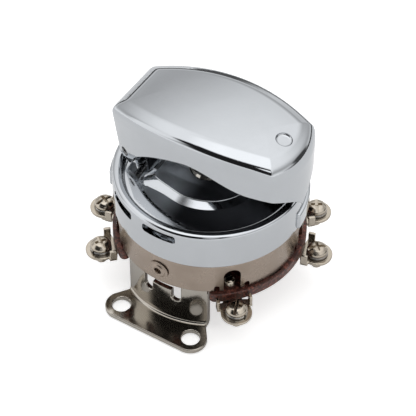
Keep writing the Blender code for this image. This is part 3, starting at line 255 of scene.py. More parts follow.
def piece(name, mesh, body, slot, materials, replaces=()):
    """Object of a mesh that rides on a body, stands for CAD nodes, which it hides, and takes the given
    materials. The slot is not used.
    """
    obj = bpy.data.objects.new(name, mesh)
    bpy.context.scene.collection.objects.link(obj)
    for material in materials if isinstance(materials, (list, tuple)) else [materials]:
        mesh.materials.append(material)
    mesh.shade_smooth()
    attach(obj, body)
    if replaces:
        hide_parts(*replaces)
    return obj


def shaped(mesh, steps):
    """Mesh after a list of Booleans, each given as its operation and the mesh it is made with."""
    base = bpy.data.objects.new("blank", mesh)
    bpy.context.scene.collection.objects.link(base)
    tools = []
    for number, (operation, tool_mesh) in enumerate(steps):
        tool = bpy.data.objects.new(f"tool_{number}", tool_mesh)
        bpy.context.scene.collection.objects.link(tool)
        tools.append(tool)
        change = base.modifiers.new(f"change_{number}", "BOOLEAN")
        change.object = tool
        change.operation = operation
        change.solver = "EXACT"
    bpy.context.view_layer.update()
    ready = bpy.data.meshes.new_from_object(base.evaluated_get(bpy.context.evaluated_depsgraph_get()))
    ready.name = mesh.name
    for extra in tools + [base]:
        bpy.data.objects.remove(extra)
    return ready


def joined(meshes, name):
    """One mesh of several."""
    work = bmesh.new()
    for mesh in meshes:
        work.from_mesh(mesh)
    out = bpy.data.meshes.new(name)
    work.to_mesh(out)
    work.free()
    return out


def even_shade(obj, degrees=35.0):
    """Sharp edges over an angle, and normals weighted by face area, so that flats stay flat."""
    obj.data.set_sharp_from_angle(angle=math.radians(degrees))
    weight = obj.modifiers.new("even_normals", "WEIGHTED_NORMAL")
    weight.keep_sharp = True
    weight.weight = 90
    return obj


def rounded_edges(obj, width, steps=2, degrees=40.0):
    """Small rounding on all sharp edges of a cut mesh."""
    bevel = obj.modifiers.new("edge_round", "BEVEL")
    bevel.width = width * MM
    bevel.segments = steps
    bevel.limit_method = "ANGLE"
    bevel.angle_limit = math.radians(degrees)
    bevel.use_clamp_overlap = False
    bevel.harden_normals = False
    return obj


# Node groups and materials


def new_group(name, inputs, outputs):
    """Empty node group with number inputs and number outputs of the given names."""
    group = bpy.data.node_groups.new(name, "ShaderNodeTree")
    for label, value in inputs:
        group.interface.new_socket(label, in_out="INPUT", socket_type="NodeSocketFloat").default_value = value
    for label in outputs:
        group.interface.new_socket(label, in_out="OUTPUT", socket_type="NodeSocketFloat")
    return group, group.nodes.new("NodeGroupInput"), group.nodes.new("NodeGroupOutput")


def add_node(tree, kind, links=None, **values):
    """Node of a kind with its settings, its input values and its links."""
    node = tree.nodes.new(kind)
    for key, value in values.items():
        setattr(node, key, value)
    for socket, source in (links or {}).items():
        if isinstance(source, bpy.types.NodeSocket):
            tree.links.new(source, node.inputs[socket])
        else:
            node.inputs[socket].default_value = source
    return node


def math_node(tree, operation, *given, clamp=False):
    """Result of a maths node."""
    node = add_node(tree, "ShaderNodeMath", dict(enumerate(given)), operation=operation, use_clamp=clamp)
    return node.outputs[0]


def noise(tree, vector, scale, detail=4.0, rough=0.55):
    """Noise value over a vector."""
    return add_node(tree, "ShaderNodeTexNoise", {"Vector": vector, "Scale": scale, "Detail": detail,
                                                 "Roughness": rough}).outputs["Fac"]


def spread(tree, value, low, high, to_low, to_high, kind="SMOOTHSTEP"):
    """Value mapped from one range to another."""
    return add_node(tree, "ShaderNodeMapRange", {"Value": value, "From Min": low, "From Max": high,
                                                 "To Min": to_low, "To Max": to_high},
                    interpolation_type=kind).outputs["Result"]


def build_haze_group():
    """Polish of plated metal: slow cloudy haze, fine wiping marks and small pits.

    Roughness = base + haze x cloud + marks x stretched noise. Height is the fine marks and pits.
    """
    inputs = [("Base", 0.05), ("Haze", 0.05), ("Marks", 0.05), ("Grain", 1.0)]
    group, given, out = new_group("plated_polish", inputs, ("Roughness", "Height", "Cloud"))
    coords = group.nodes.new("ShaderNodeTexCoord").outputs["Object"]
    cloud = spread(group, noise(group, coords, 90.0, 5.0), 0.38, 0.66, 0.0, 1.0)
    stretch = add_node(group, "ShaderNodeMapping",
                       {"Vector": coords, "Rotation": (0.3, 0.2, 0.5), "Scale": (1.0, 9.0, 4.0)})
    marks = spread(group, noise(group, stretch.outputs["Vector"], 420.0, 3.0), 0.58, 0.74, 0.0, 1.0)
    pits = add_node(group, "ShaderNodeTexVoronoi", {"Vector": coords, "Scale": 900.0})
    pit = spread(group, pits.outputs["Distance"], 0.0, 0.16, 1.0, 0.0)
    hazy = math_node(group, "MULTIPLY_ADD", cloud, given.outputs["Haze"], given.outputs["Base"])
    rough = math_node(group, "MULTIPLY_ADD", marks, given.outputs["Marks"], hazy)
    fine = math_node(group, "MULTIPLY", math_node(group, "ADD", pit, marks), given.outputs["Grain"])
    for label, result in (("Roughness", rough), ("Height", fine), ("Cloud", cloud)):
        group.links.new(result, out.inputs[label])
    return group


POLISH = build_haze_group()


def new_material(name):
    """Material with its node tree and its shader."""
    material = bpy.data.materials.new(name)
    material.use_nodes = True
    return material, material.node_tree, material.node_tree.nodes["Principled BSDF"]


def mixed_colour(tree, share, first, second):
    """Base colour that goes from the first to the second by the share."""
    mix = add_node(tree, "ShaderNodeMix", {0: share, 6: (*first, 1), 7: (*second, 1)}, data_type="RGBA")
    tree.links.new(mix.outputs[2], tree.nodes["Principled BSDF"].inputs["Base Color"])


def relief(tree, height, strength, distance):
    """Fine relief on the shader's normal."""
    bump = add_node(tree, "ShaderNodeBump", {"Height": height, "Strength": strength, "Distance": distance})
    tree.links.new(bump.outputs["Normal"], tree.nodes["Principled BSDF"].inputs["Normal"])


def metal(name, colour, stain_and_painted_light, base, haze, marks, grain=1.0, height=0.00001, along=None):
    """Plated or bare metal, with its roughness and fine relief from the polish group.

    The colour shifts to the second colour in stained clouds; with along, from painted light (second colour)
    at the first X place to painted shade (first colour) at the second.
    """
    material, tree, shader = new_material(name)
    shader.inputs["Metallic"].default_value = 1.0
    polish = tree.nodes.new("ShaderNodeGroup")
    polish.node_tree = POLISH
    for label, value in (("Base", base), ("Haze", haze), ("Marks", marks), ("Grain", grain)):
        polish.inputs[label].default_value = value
    share = math_node(tree, "MULTIPLY", polish.outputs["Cloud"], 0.3)
    # With along, the share is painted light and shade along X: the second colour at the first place, the
    # first colour at the second.
    if along:
        coords = tree.nodes.new("ShaderNodeTexCoord").outputs["Object"]
        place = add_node(tree, "ShaderNodeSeparateXYZ", {0: coords}).outputs["X"]
        share = spread(tree, place, *along, 1.0, 0.0)
    mixed_colour(tree, share, colour, stain_and_painted_light)
    tree.links.new(polish.outputs["Roughness"], shader.inputs["Roughness"])
    relief(tree, polish.outputs["Height"], 0.25, height)
    return material


def moulding(name, colour, fleck, fleck_scale, roughness, share=0.5):
    """Moulded board or plastic with mottled flecks and a slightly uneven surface."""
    material, tree, shader = new_material(name)
    coords = tree.nodes.new("ShaderNodeTexCoord").outputs["Object"]
    spots = spread(tree, noise(tree, coords, fleck_scale, 6.0, 0.7), 0.45, 0.68, 0.0, share)
    mixed_colour(tree, spots, colour, fleck)
    cloud = noise(tree, coords, fleck_scale * 0.5, 3.0)
    rough = spread(tree, cloud, 0.3, 0.7, roughness - 0.08, roughness + 0.1)
    tree.links.new(rough, shader.inputs["Roughness"])
    relief(tree, noise(tree, coords, fleck_scale * 2, 4.0), 0.5, 0.00003)
    return material


CHROME = metal("polished_chrome", (0.53, 0.55, 0.575), (0.48, 0.50, 0.52), 0.035, 0.05, 0.05)
# Inside of the lever: painted light near the wide end fading to painted shade towards the nose, along X.
INSIDE_PAINTED_LIGHT = metal("inside_painted_light_and_shade", (0.06, 0.06, 0.065), (0.92, 0.94, 0.96), 0.30, 0.15, 0.1, 3.0, 0.00006,
               (-0.019, -0.008))
SATIN = metal("satin_nickel_band", (0.37, 0.305, 0.255), (0.29, 0.235, 0.19), 0.26, 0.12, 0.12, 2.0)
BRIGHT = metal("bright_nickel_sheet", (0.45, 0.42, 0.375), (0.34, 0.30, 0.26), 0.10, 0.08, 0.10)
WARM = metal("terminal_nickel", (0.50, 0.45, 0.38), (0.34, 0.29, 0.23), 0.14, 0.10, 0.12)
STEEL = metal("ground_steel", (0.46, 0.45, 0.44), (0.30, 0.28, 0.26), 0.22, 0.12, 0.16)
BRASS = metal("lock_brass", (0.52, 0.50, 0.46), (0.36, 0.33, 0.27), 0.16, 0.12, 0.12)
BOARD = moulding("phenolic_board", (0.045, 0.014, 0.010), (0.30, 0.10, 0.07), 1100.0, 0.40, 0.9)
ROTOR = moulding("rotor_moulding", (0.030, 0.026, 0.024), (0.07, 0.06, 0.055), 900.0, 0.5, 0.5)


# Dial cap, its boss and the hinge lug


def cap_profile():
    """Cap outline in (r, z): sloping dish floor, steep dish side, rolled rim, straight skirt and inside."""
    corners = [(0, DISH_Z), (DISH_START_R, DISH_Z + 0.5), (RIM_INNER_R - 0.3, DISH_Z - 0.9),
               (RIM_INNER_R + 0.25, RIM_TOP), (CAP_R, RIM_TOP), (CAP_R, CAP_LOW),
               (SKIRT_INNER_R, CAP_LOW), (SKIRT_INNER_R, RIM_TOP - RIM_T), (RIM_INNER_R, RIM_TOP - RIM_T),
               (RIM_INNER_R, DISH_Z - 2.0), (0, DISH_Z - 1.4)]
    return eased(corners, [0, 0, 0.45, 0.9, 1.5, 0.35, 0.2, 0.2, 0.1, 0.2, 0], 8)


def slot_tool(turn):
    """Round-ended slot through the skirt, made flat and then rolled round the cap."""
    half = math.radians(SLOT_HALF_TURN) * CAP_R
    loop = eased([(-half, SLOT_LOW), (half, SLOT_LOW), (half, SLOT_TOP), (-half, SLOT_TOP)], [1.1] * 4, 6)
    a = np.linspace(0, 1, 25)[:-1, None]
    dense = np.concatenate([loop[i] + (loop[(i + 1) % len(loop)] - loop[i]) * a for i in range(len(loop))])

    def rolled(p):
        """Plane point (x, y, depth) to the angle x / R, the height y and the radius depth."""
        angle = math.radians(turn) + p[:, 0] / CAP_R
        return np.stack((p[:, 2] * np.cos(angle), p[:, 2] * np.sin(angle), p[:, 1]), axis=1)

    return slab("slot_tool", [dense], 27.0, 32.0, 0.0, 1, rolled)


def pad_edge(w, size):
    """Height share near an edge: a quarter circle over the last PAD_EDGE of the half width."""
    near = np.clip((1 - np.abs(w)) * size / PAD_EDGE, 0, 1)
    return np.sqrt(1 - (1 - near) ** 2)


def rolled_pad(name, turn, span, low, high):
    """Raised pad on the skirt: height over the cap falls to the skirt at all four edges.

    Height = proud x edge(u) x edge(v), where edge rises from 0 to 1 as a quarter circle. The
    outer grid and a plain inner grid are closed by a strip round their borders.
    """
    rows, columns = 61, 41
    u, v = np.meshgrid(np.linspace(-1, 1, rows), np.linspace(-1, 1, columns), indexing="ij")
    half_u, half_v = math.radians(span / 2) * CAP_R, (high - low) / 2
    lift = pad_edge(u, half_u) * pad_edge(v, half_v)
    angle = math.radians(turn) + u * math.radians(span / 2)
    z = (low + high) / 2 + v * half_v
    grids = []
    for reach in (CAP_R - PAD_DEEP + 0 * u, CAP_R - PAD_SUNK + (PAD_PROUD + PAD_SUNK) * lift):
        grids.append(np.stack((reach * np.cos(angle), reach * np.sin(angle), z), axis=-1))
    count = rows * columns
    faces = [grid_faces(rows, columns, False), grid_faces(rows, columns, False) + count]
    border = np.concatenate((np.arange(columns), columns * np.arange(1, rows) + columns - 1,
                             (rows - 1) * columns + np.arange(columns - 2, -1, -1),
                             columns * np.arange(rows - 2, 0, -1)))
    ahead = np.roll(border, -1)
    faces.append(np.stack((border, ahead, ahead + count, border + count), axis=1))
    return make_mesh(name, np.stack(grids), np.concatenate(faces))


def boss_outline(offset, steps=360):
    """Boss in plan by angle: the smaller of a circle's reach and the reach of three straight sides.

    The two long sides are the tangents from the back corners to the circle. The back side is
    blended in with the 14th power mean of the reaches, which rounds the two corners.
    """
    blend = 14
    a = np.linspace(-np.pi, np.pi, steps, endpoint=False)
    reach = math.hypot(BOSS_BACK, BOSS_BACK_HALF)
    tangent = math.atan2(BOSS_BACK_HALF, BOSS_BACK) - math.acos(BOSS_R / reach)
    powers = np.zeros_like(a)
    for turn in (tangent, -tangent):
        facing = np.maximum(np.cos(a - turn), 1e-3)
        past = np.abs((a - turn + np.pi) % (2 * np.pi) - np.pi) < np.pi / 2
        beyond = (np.abs(a) > tangent) & past & (np.sign(a) == np.sign(turn))
        powers = np.where(beyond, facing / (BOSS_R + offset), powers)
    powers = np.where(powers == 0, 1 / (BOSS_R + offset), powers)
    back = np.maximum(-np.cos(a), 0) / (-BOSS_BACK + offset)
    r = 1 / (powers ** blend + back ** blend) ** (1 / blend)
    return np.stack((r * np.cos(a), r * np.sin(a)), axis=-1)


def boss_mesh():
    """Boss with a straight sloping foot, a rounded edge and a flat top round the lock."""
    steps, bore_r = 360, 6.3
    rise = RIM_TOP - DISH_Z - BOSS_ROUND - 0.03
    a = np.linspace(0, np.pi / 2, 15)
    share = a / a[-1]
    offset = np.concatenate(((BOSS_FOOT + 0.6,), BOSS_FOOT * (1 - share), -BOSS_ROUND * (1 - np.cos(a)),
                             (-BOSS_ROUND - 0.15,)))
    level = np.concatenate(((DISH_Z - 0.1,), DISH_Z + 0.03 + rise * share,
                            RIM_TOP - BOSS_ROUND * (1 - np.sin(a)), (RIM_TOP,)))
    rings = []
    for o, z in zip(offset, level):
        rings.append(np.concatenate((boss_outline(o, steps), np.full((steps, 1), z)), axis=1))
    turn = np.linspace(-np.pi, np.pi, steps, endpoint=False)
    bore = [(bore_r + 0.15, RIM_TOP), (bore_r, RIM_TOP - 0.15), (bore_r, DISH_Z - 0.1)]
    inner = [np.stack((r * np.cos(turn), r * np.sin(turn), z + 0 * turn), axis=-1) for r, z in bore]
    return grid_mesh("dial_boss", np.stack(rings + inner + rings[:1]))


def make_dial():
    """Dial cap with its two wall slots, the boss round the lock, the hinge lug and the two grip pads."""
    finish = ("dial", "chrome", CHROME)
    slots = [("DIFFERENCE", slot_tool(turn)) for turn in SLOT_TURNS]
    cap = shaped(lathe("dial_cap_shell", cap_profile(), 480), slots)
    even_shade(piece("dial_cap_shell", cap, *finish, ["dial_cap"]))
    even_shade(piece("dial_boss", boss_mesh(), *finish), 50)
    foot = DISH_Z - 0.5
    lug = np.concatenate((circle_line((HINGE_X, HINGE_Z), LUG_R, 180, 0, 40, False),
                          ((HINGE_X + LUG_R, foot), (HINGE_X - LUG_R, foot))))
    bore = circle_line((HINGE_X, HINGE_Z), PIN_HOLE_R)
    mesh = slab("hinge_lug", [lug, bore], -LUG_HALF, LUG_HALF, 0.4, 4, lambda p: p[:, [0, 2, 1]])
    even_shade(piece("hinge_lug", mesh, *finish))
    for name, turn, span, low, high in GRIP_PADS:
        even_shade(piece(name, rolled_pad(name, turn, span, low, high), *finish), 60)


# Lever cover


def side_half(x):
    """Half width of the lever's top outline along its bowed sides."""
    return COVER_HALF - SIDE_BOW_R + np.sqrt(SIDE_BOW_R ** 2 - (x - SIDE_BOW_X) ** 2)


def edge_z(x):
    """Height of the bowed upper edge along the lever."""
    return EDGE_TOP - EDGE_BOW_R + np.sqrt(EDGE_BOW_R ** 2 - (x - EDGE_X) ** 2)


def lever_outline():
    """Half of the lever's top outline from the wide end round to the nose, in even steps.

    Returns the points, the inward direction that keeps an offset edge parallel, and the run of
    the two corners. At a corner that direction is the bisector, and it turns back to the
    inward normal over the next 11 mm, so that offset edges meet on the mitre.
    """
    mitre_reach = 11.0
    centre_x = NOSE - NOSE_BOW_R
    x = np.linspace(WIDE_END, NOSE, 4001)
    on_arc = np.sqrt(np.maximum(NOSE_BOW_R ** 2 - np.maximum(x - centre_x, 0) ** 2, 0))
    corner_x = x[np.argmax(on_arc < side_half(x))]
    side_x = np.linspace(WIDE_END, corner_x, 600)
    start = math.degrees(math.asin(side_half(corner_x) / NOSE_BOW_R))
    end = np.array(((WIDE_END, 0.0), (WIDE_END, side_half(WIDE_END))))
    side = np.stack((side_x, side_half(side_x)), axis=1)
    nose = circle_line((centre_x, 0), NOSE_BOW_R, start, 0, 200, False)
    whole = np.concatenate((end, side[1:], nose[1:]))
    run = np.concatenate(((0,), np.cumsum(np.linalg.norm(np.diff(whole, axis=0), axis=1))))
    even = np.linspace(0, run[-1], OUTLINE_POINTS)
    points = np.stack((np.interp(even, run, whole[:, 0]), np.interp(even, run, whole[:, 1])), axis=1)
    corners = run[1], run[len(end) + len(side) - 2]
    number = (even > corners[0]).astype(int) + (even > corners[1])
    ahead = np.where((number == 0)[:, None], (0.0, 1.0), 0.0)
    lean = (points[:, 0] - SIDE_BOW_X) / SIDE_BOW_R
    ahead = np.where((number == 1)[:, None], np.stack((np.sqrt(1 - lean ** 2), -lean), axis=1), ahead)
    out = (points - (centre_x, 0)) / NOSE_BOW_R
    ahead = np.where((number == 2)[:, None], np.stack((out[:, 1], -out[:, 0]), axis=1), ahead)
    inward = np.stack((ahead[:, 1], -ahead[:, 0]), axis=1)
    mitre = np.zeros(len(even))
    for corner in corners:
        before, after = ahead[even <= corner][-1], ahead[even > corner][0]
        half_turn = 0.5 * math.acos(min(float(before @ after), 1.0))
        near = np.clip(1 - np.abs(even - corner) / mitre_reach, 0, 1)
        mitre += np.where(even > corner, 1, -1) * math.tan(half_turn) * near
    return points, inward + ahead * mitre[:, None], even, corners


def lever_foot(x, y, corner_x):
    """Height of the lower edge: arch between the wide end and the nose corner, beak at the nose.

    Towards the wide end the arch falls as (1 - back^1.4)^0.55, and towards the nose corner as half
    a cosine wave. The beak's height goes with the share of the half width to the power 0.63.
    """
    arch_x, arch_rise, arch_end, arch_front = 2.5, 15.3, -20.3, 23.8
    end_rise, beak_rise = 0.6, 9.9
    back = np.clip((x - arch_x) / (arch_end - arch_x), 0, 1)
    rise = end_rise + (arch_rise - end_rise) * (1 - back ** 1.4) ** 0.55
    ahead = np.clip((x - arch_x) / (arch_front - arch_x), 0, 1)
    front = beak_rise + (arch_rise - beak_rise) * (0.5 + 0.5 * np.cos(np.pi * ahead))
    beak = beak_rise * (np.abs(y) / side_half(corner_x)) ** 0.63
    rise = np.where(x > arch_x, front, rise)
    rise = np.where(x > corner_x, beak, rise)
    return RIM_TOP + 0.4 + rise


def lever_wall(outline, even, end_run, nose_run):
    """Wall profile of the lever at each outline point, in (inset, height over the edge line).

    From outside in: a sloping band, a round edge, the wall down to the foot, and the same at the
    wall's thickness. The wall leans inward only near the wide end and swells out at the nose.
    """
    x, y = outline[:, 0], outline[:, 1]
    foot = lever_foot(x, y, x[np.argmax(even > nose_run)]) - edge_z(x)
    at_nose = np.clip((even - nose_run + 9) / 12, 0, 1)
    at_end = np.clip((end_run + 14 - even) / 14, 0, 1)
    draft = np.tan(np.radians(END_DRAFT * at_end)) * (1 - at_nose)
    swell = 0.6 * np.clip((even - nose_run + 6) / 7, 0, 1)
    low_inset = (WALL_TOP - foot) * draft - swell
    flat = 0 * x
    corners = [(flat + BAND + 1.5, flat + BAND_RISE + 0.06), (flat + BAND, flat + BAND_RISE),
               (flat - 0.02, flat + WALL_TOP), (flat + 3.0 * draft - swell, flat + WALL_TOP - 3.6),
               (low_inset, foot), (low_inset + WALL_T, foot), (flat + WALL_T, flat + WALL_TOP - 1.2),
               (flat + BAND + WALL_T, flat + BAND_RISE - WALL_T),
               (flat + BAND + WALL_T + 1.5, flat + BAND_RISE + 0.06 - WALL_T)]
    radii = [0, 0.8, 2.1, 0.6, 0.3, 0.3, 0.8, 0.8, 0]
    wall = eased(np.stack([np.stack(pair, axis=1) for pair in corners]), radii, 12)
    each = len(wall) // len(radii)
    return wall[each:-each]


def crown_rows(rim, top):
    """Rows from the rim of the band to the middle line: height falls as the square of the way out."""
    share = np.linspace(1, 0, 19)[:-1, None, None]
    middle = np.stack((np.clip(rim[:, 0], WIDE_END + CORE_IN, NOSE - CORE_IN), 0 * rim[:, 0]), axis=1)
    at = rim[None, :, :2] * (1 - share) + middle[None] * share
    lift = rim[:, 2] - edge_z(rim[:, 0])
    z = edge_z(at[..., 0]) + top - (top - lift[None]) * (1 - share[..., 0]) ** 2
    return np.concatenate((at, z[..., None]), axis=2)


def box_mean(rows, width):
    """Moving mean of rows of points over width + 1 neighbours."""
    run = np.concatenate((np.zeros_like(rows[:, :1]), np.cumsum(rows, axis=1)), axis=1)
    box = width + 1
    return (run[:, box:] - run[:, :-box]) / box


def lever_cover_mesh():
    """Closed skin of the lever, outside and inside, as a wall profile carried round the outline.

    A point = outline point moved inward by an inset, at a height over the bowed edge line. The
    crown closes the top of both skins. The plan's corners are rounded by a moving mean along
    each row, twice over, wide at the wide end and narrow at the nose.
    """
    outline, inward, even, (end_run, nose_run) = lever_outline()
    wall = lever_wall(outline, even, end_run, nose_run)
    rows = outline[None] + inward[None] * wall[..., :1]
    rows = np.concatenate((rows, (edge_z(rows[..., 0]) + wall[..., 1])[..., None]), axis=2)
    roof, ceiling = crown_rows(rows[0], CROWN_RISE), crown_rows(rows[-1], CROWN_RISE - WALL_T)
    half = np.concatenate((roof, rows, ceiling[::-1]))
    whole = np.concatenate((half, half[:, -2:0:-1] * np.array((1, -1, 1))), axis=1)
    soft = []
    for width in (70, 24):
        padded = np.concatenate((whole[:, -width:], whole, whole[:, :width]), axis=1)
        soft.append(box_mean(box_mean(padded, width), width))
    share = np.clip((whole[..., :1] + 10) / 20, 0, 1)
    count = whole.shape[1]
    whole = soft[0][:, :count] * (1 - share) + soft[1][:, :count] * share
    weight = np.full(OUTLINE_POINTS, 1.0)
    for corner, reach in ((end_run, 3.5), (nose_run, 1.5)):
        weight += 3.0 * (np.abs(even - corner) < reach)
    measure = np.concatenate(((0,), np.cumsum(weight[1:])))
    pick = np.searchsorted(measure, np.linspace(0, measure[-1], 211))
    pick[0], pick[-1] = 0, OUTLINE_POINTS - 1
    pick = np.concatenate((pick, (2 * (OUTLINE_POINTS - 1) - pick[1:-1])[::-1]))
    whole[0, :, 1] = whole[-1, :, 1] = 0
    return grid_mesh("lever_cover_shell", whole[:, pick])


def dimple_tool():
    """Turned tool for the shallow dimple: soft corner at its floor, flared lip, square to the crown."""
    a = np.linspace(0, np.pi / 2, 9)[:-1]
    bowl = np.stack((1.75 + 0.85 * np.sin(a), -0.05 - 0.75 * np.cos(a)), axis=1)
    lip = ((2.62, -0.02), (2.7, 0.06), (2.95, 0.12), (3.4, 0.16), (3.4, 3.0), (0, 3.0))
    grid = lathe_grid(np.concatenate((((0, -0.8), (1.6, -0.8)), bowl, lip)), 96)
    tilt = math.asin((DIMPLE_X - EDGE_X) / EDGE_BOW_R)
    x, z = grid[..., 0], grid[..., 2]
    turned = (x * math.cos(tilt) + z * math.sin(tilt), grid[..., 1], z * math.cos(tilt) - x * math.sin(tilt))
    return grid_mesh("dimple", np.stack(turned, axis=-1) + np.array((DIMPLE_X, 0, edge_z(DIMPLE_X) + 1.22)))


def mark_inside(mesh):
    """Gives the second material to the faces of a hollow shell that look at its core line."""
    count = len(mesh.polygons)
    centre, normal = np.empty(count * 3), np.empty(count * 3)
    mesh.polygons.foreach_get("center", centre)
    mesh.polygons.foreach_get("normal", normal)
    centre = centre.reshape(-1, 3) / MM - PLACE
    x, z = centre[:, 0], centre[:, 2]
    core = np.stack((np.clip(x, WIDE_END + CORE_IN, NOSE - CORE_IN), 0 * x, np.minimum(z, 40)), axis=1)
    inside = ((centre - core) * normal.reshape(-1, 3)).sum(axis=1) < 0
    mesh.polygons.foreach_set("material_index", inside.astype(int))


def make_lever():
    """Lever cover with its end notch, hinge holes and dimple, and the pin in the holes."""
    low, high = (WIDE_END - 3, -NOTCH_HALF, RIM_TOP - 1), (WIDE_END + 6, NOTCH_HALF, HINGE_Z + LUG_R + 1.4)
    notch = block("end_notch", low, high, 0.6)
    hole = rod("pin_hole", (HINGE_X, 0, HINGE_Z), PIN_HOLE_R, 60, "Y")
    mesh = shaped(lever_cover_mesh(), [("DIFFERENCE", tool) for tool in (notch, hole, dimple_tool())])
    # The second material, on the inward faces, is the painted light and shade of the inside.
    lever = piece("lever_cover_shell", mesh, "cover", "chrome", [CHROME, INSIDE_PAINTED_LIGHT], ["lever_cover"])
    mark_inside(mesh)
    even_shade(lever, 40)
    pin = rod("hinge_pin", (HINGE_X, 0, HINGE_Z), PIN_R, PIN_LENGTH, "Y", 0.3)
    even_shade(piece("hinge_pin", pin, "dial", "steel", STEEL, ["cover_hinge_pin"]))


# Drum and board


def stood_up(p):
    """Points of a flat slab stood up: its plan becomes the view from the front."""
    return np.stack((p[:, 0], -p[:, 2], p[:, 1]), axis=1)


def arch_tool(turn, half, high):
    """Round-topped opening through the band."""
    top = circle_line((0, high - half), half, 0, 180, 32, False)
    loop = np.concatenate((((-half, -2.0), (half, -2.0)), top))
    return slab("arch_tool", [loop], 27.0, 31.0, 0.0, 1, lambda p: turned_about(stood_up(p), turn + 90))


def ring_of_blocks(name, low, high, turns):
    """One mesh of the same block at several turns about the switch axis."""
    return joined([block(name, low, high, 0, turn) for turn in turns], f"{name}s")


def make_drum():
    """Drum: a thin band with a rolled shoulder, its neck inside the cap, arches over the terminals."""
    band_in, neck_in, shoulder = DRUM_R - SHEET_T, NECK_R - SHEET_T, DRUM_TOP - SHEET_T
    corners = [(NECK_R, NECK_TOP), (NECK_R, DRUM_TOP), (DRUM_R, DRUM_TOP), (DRUM_R, 0), (band_in, 0),
               (band_in, shoulder), (neck_in, shoulder), (neck_in, DECK_LOW), (DECK_BORE_R, DECK_LOW),
               (DECK_BORE_R, DECK_TOP), (neck_in, DECK_TOP), (neck_in, NECK_TOP)]
    profile = eased(corners, [0.1, 0.2, 0.7, 0.25, 0.2, 0.3, 0.3, 0.1, 0.1, 0.1, 0.1, 0.1], 5)
    arches = []
    for turn in TERMINAL_TURNS:
        arches.append(arch_tool(turn, ARCH_HALF, ARCH_TOP))
        for side in (-SMALL_ARCH_TURN, SMALL_ARCH_TURN):
            arches.append(arch_tool(turn + side, SMALL_ARCH_HALF, SMALL_ARCH_TOP))
    low, high = (NECK_R - 2, -BOLT_NOTCH_HALF, BOLT_NOTCH_LOW), (NECK_R + 1, BOLT_NOTCH_HALF, NECK_TOP + 1)
    notches = ring_of_blocks("bolt_notch", low, high, LOCK_TURNS)
    tabs = ring_of_blocks("tab", (band_in, -2.0, -4.6), (DRUM_R - 0.15, 2.0, 1.0), TAB_TURNS)
    rivet_hole = rod("rivet_hole", (0, -DRUM_R, RIVET_Z), 1.9, 5, "Y")
    steps = [("DIFFERENCE", tool) for tool in (joined(arches, "arches"), rivet_hole, notches)]
    steps.append(("UNION", tabs))
    drum = shaped(lathe("drum_shell", profile, 480), steps)
    even_shade(piece("drum_shell", drum, "switch_body", "satin_nickel", SATIN, ["switch_drum"]))


def make_board():
    """Terminal board with rounded edges and a straight-sided gap for the bracket."""
    corner_r = 1.6
    inner, side = BRACKET_R - BRACKET_T - 0.6, BRACKET_HALF + 0.6
    corner_x = side + corner_r
    turn = math.degrees(math.asin(corner_x / (BOARD_R - corner_r)))
    corner_y = -(BOARD_R - corner_r) * math.cos(math.radians(turn))
    inner_turn = math.degrees(math.asin(side / inner))
    outline = np.concatenate((circle_line((corner_x, corner_y), corner_r, 180, 270 + turn, 8, False),
                              circle_line((0, 0), BOARD_R, turn - 90, 270 - turn, 300, False)[1:-1],
                              circle_line((-corner_x, corner_y), corner_r, 270 - turn, 360, 8, False),
                              circle_line((0, 0), inner, -90 - inner_turn, inner_turn - 90, 60, False)))
    board = slab("board_slab", [outline], BOARD_LOW, BOARD_TOP, 0.3, 4)
    slots = ring_of_blocks("tab_slot", (DRUM_R - 1.1, -2.3, -5.0), (DRUM_R + 0.15, 2.3, 0.6), TAB_TURNS)
    board = shaped(board, [("DIFFERENCE", slots)])
    even_shade(piece("board_slab", board, "switch_body", "phenolic_board", BOARD, ["terminal_board"]))


# Bracket and its rivet


def bracket_mesh():
    """Sheet rolled to the drum and bent out to a flange, trimmed to its plan and pierced."""
    inner, top = BRACKET_R - BRACKET_T, FLANGE_LOW + BRACKET_T
    bend, far, high, flange_end = 1.2, 52.0, 9.0, 5.15
    corners = [(BRACKET_R, high), (BRACKET_R, top), (far, top), (far, FLANGE_LOW), (inner, FLANGE_LOW),
               (inner, high)]
    profile = eased(corners, [0, bend, 0, 0, bend + BRACKET_T * 0.75, 0], 8)
    outline = np.concatenate((((-BRACKET_HALF, -12.8), (-BRACKET_HALF, -25.2)),
                              circle_line((-HOLE_X, HOLE_Y), flange_end, 150, 270, 24, False),
                              circle_line((HOLE_X, HOLE_Y), flange_end, 270, 390, 24, False),
                              ((BRACKET_HALF, -25.2), (BRACKET_HALF, -12.8))))
    toes = [circle_line((x, -6.45), 1.55, 180, 360, 24, False) for x in (-4.95, 4.95)]
    window = np.concatenate((((-6.5, 0.6),), toes[0], ((-3.4, -3.6), (3.4, -3.6)), toes[1], ((6.5, 0.6),)))
    steps = [("INTERSECT", slab("blank", [outline], FLANGE_LOW - 2, 11.0))]
    for x in (-HOLE_X, HOLE_X):
        steps.append(("DIFFERENCE", rod("flange_hole", (x, HOLE_Y, FLANGE_LOW), HOLE_R, 8, "Z", 0, 64)))
    steps.append(("DIFFERENCE", slab("window", [window], 23.0, 32.0, 0, 1, stood_up)))
    return shaped(lathe("bracket_sheet", profile, 300), steps)


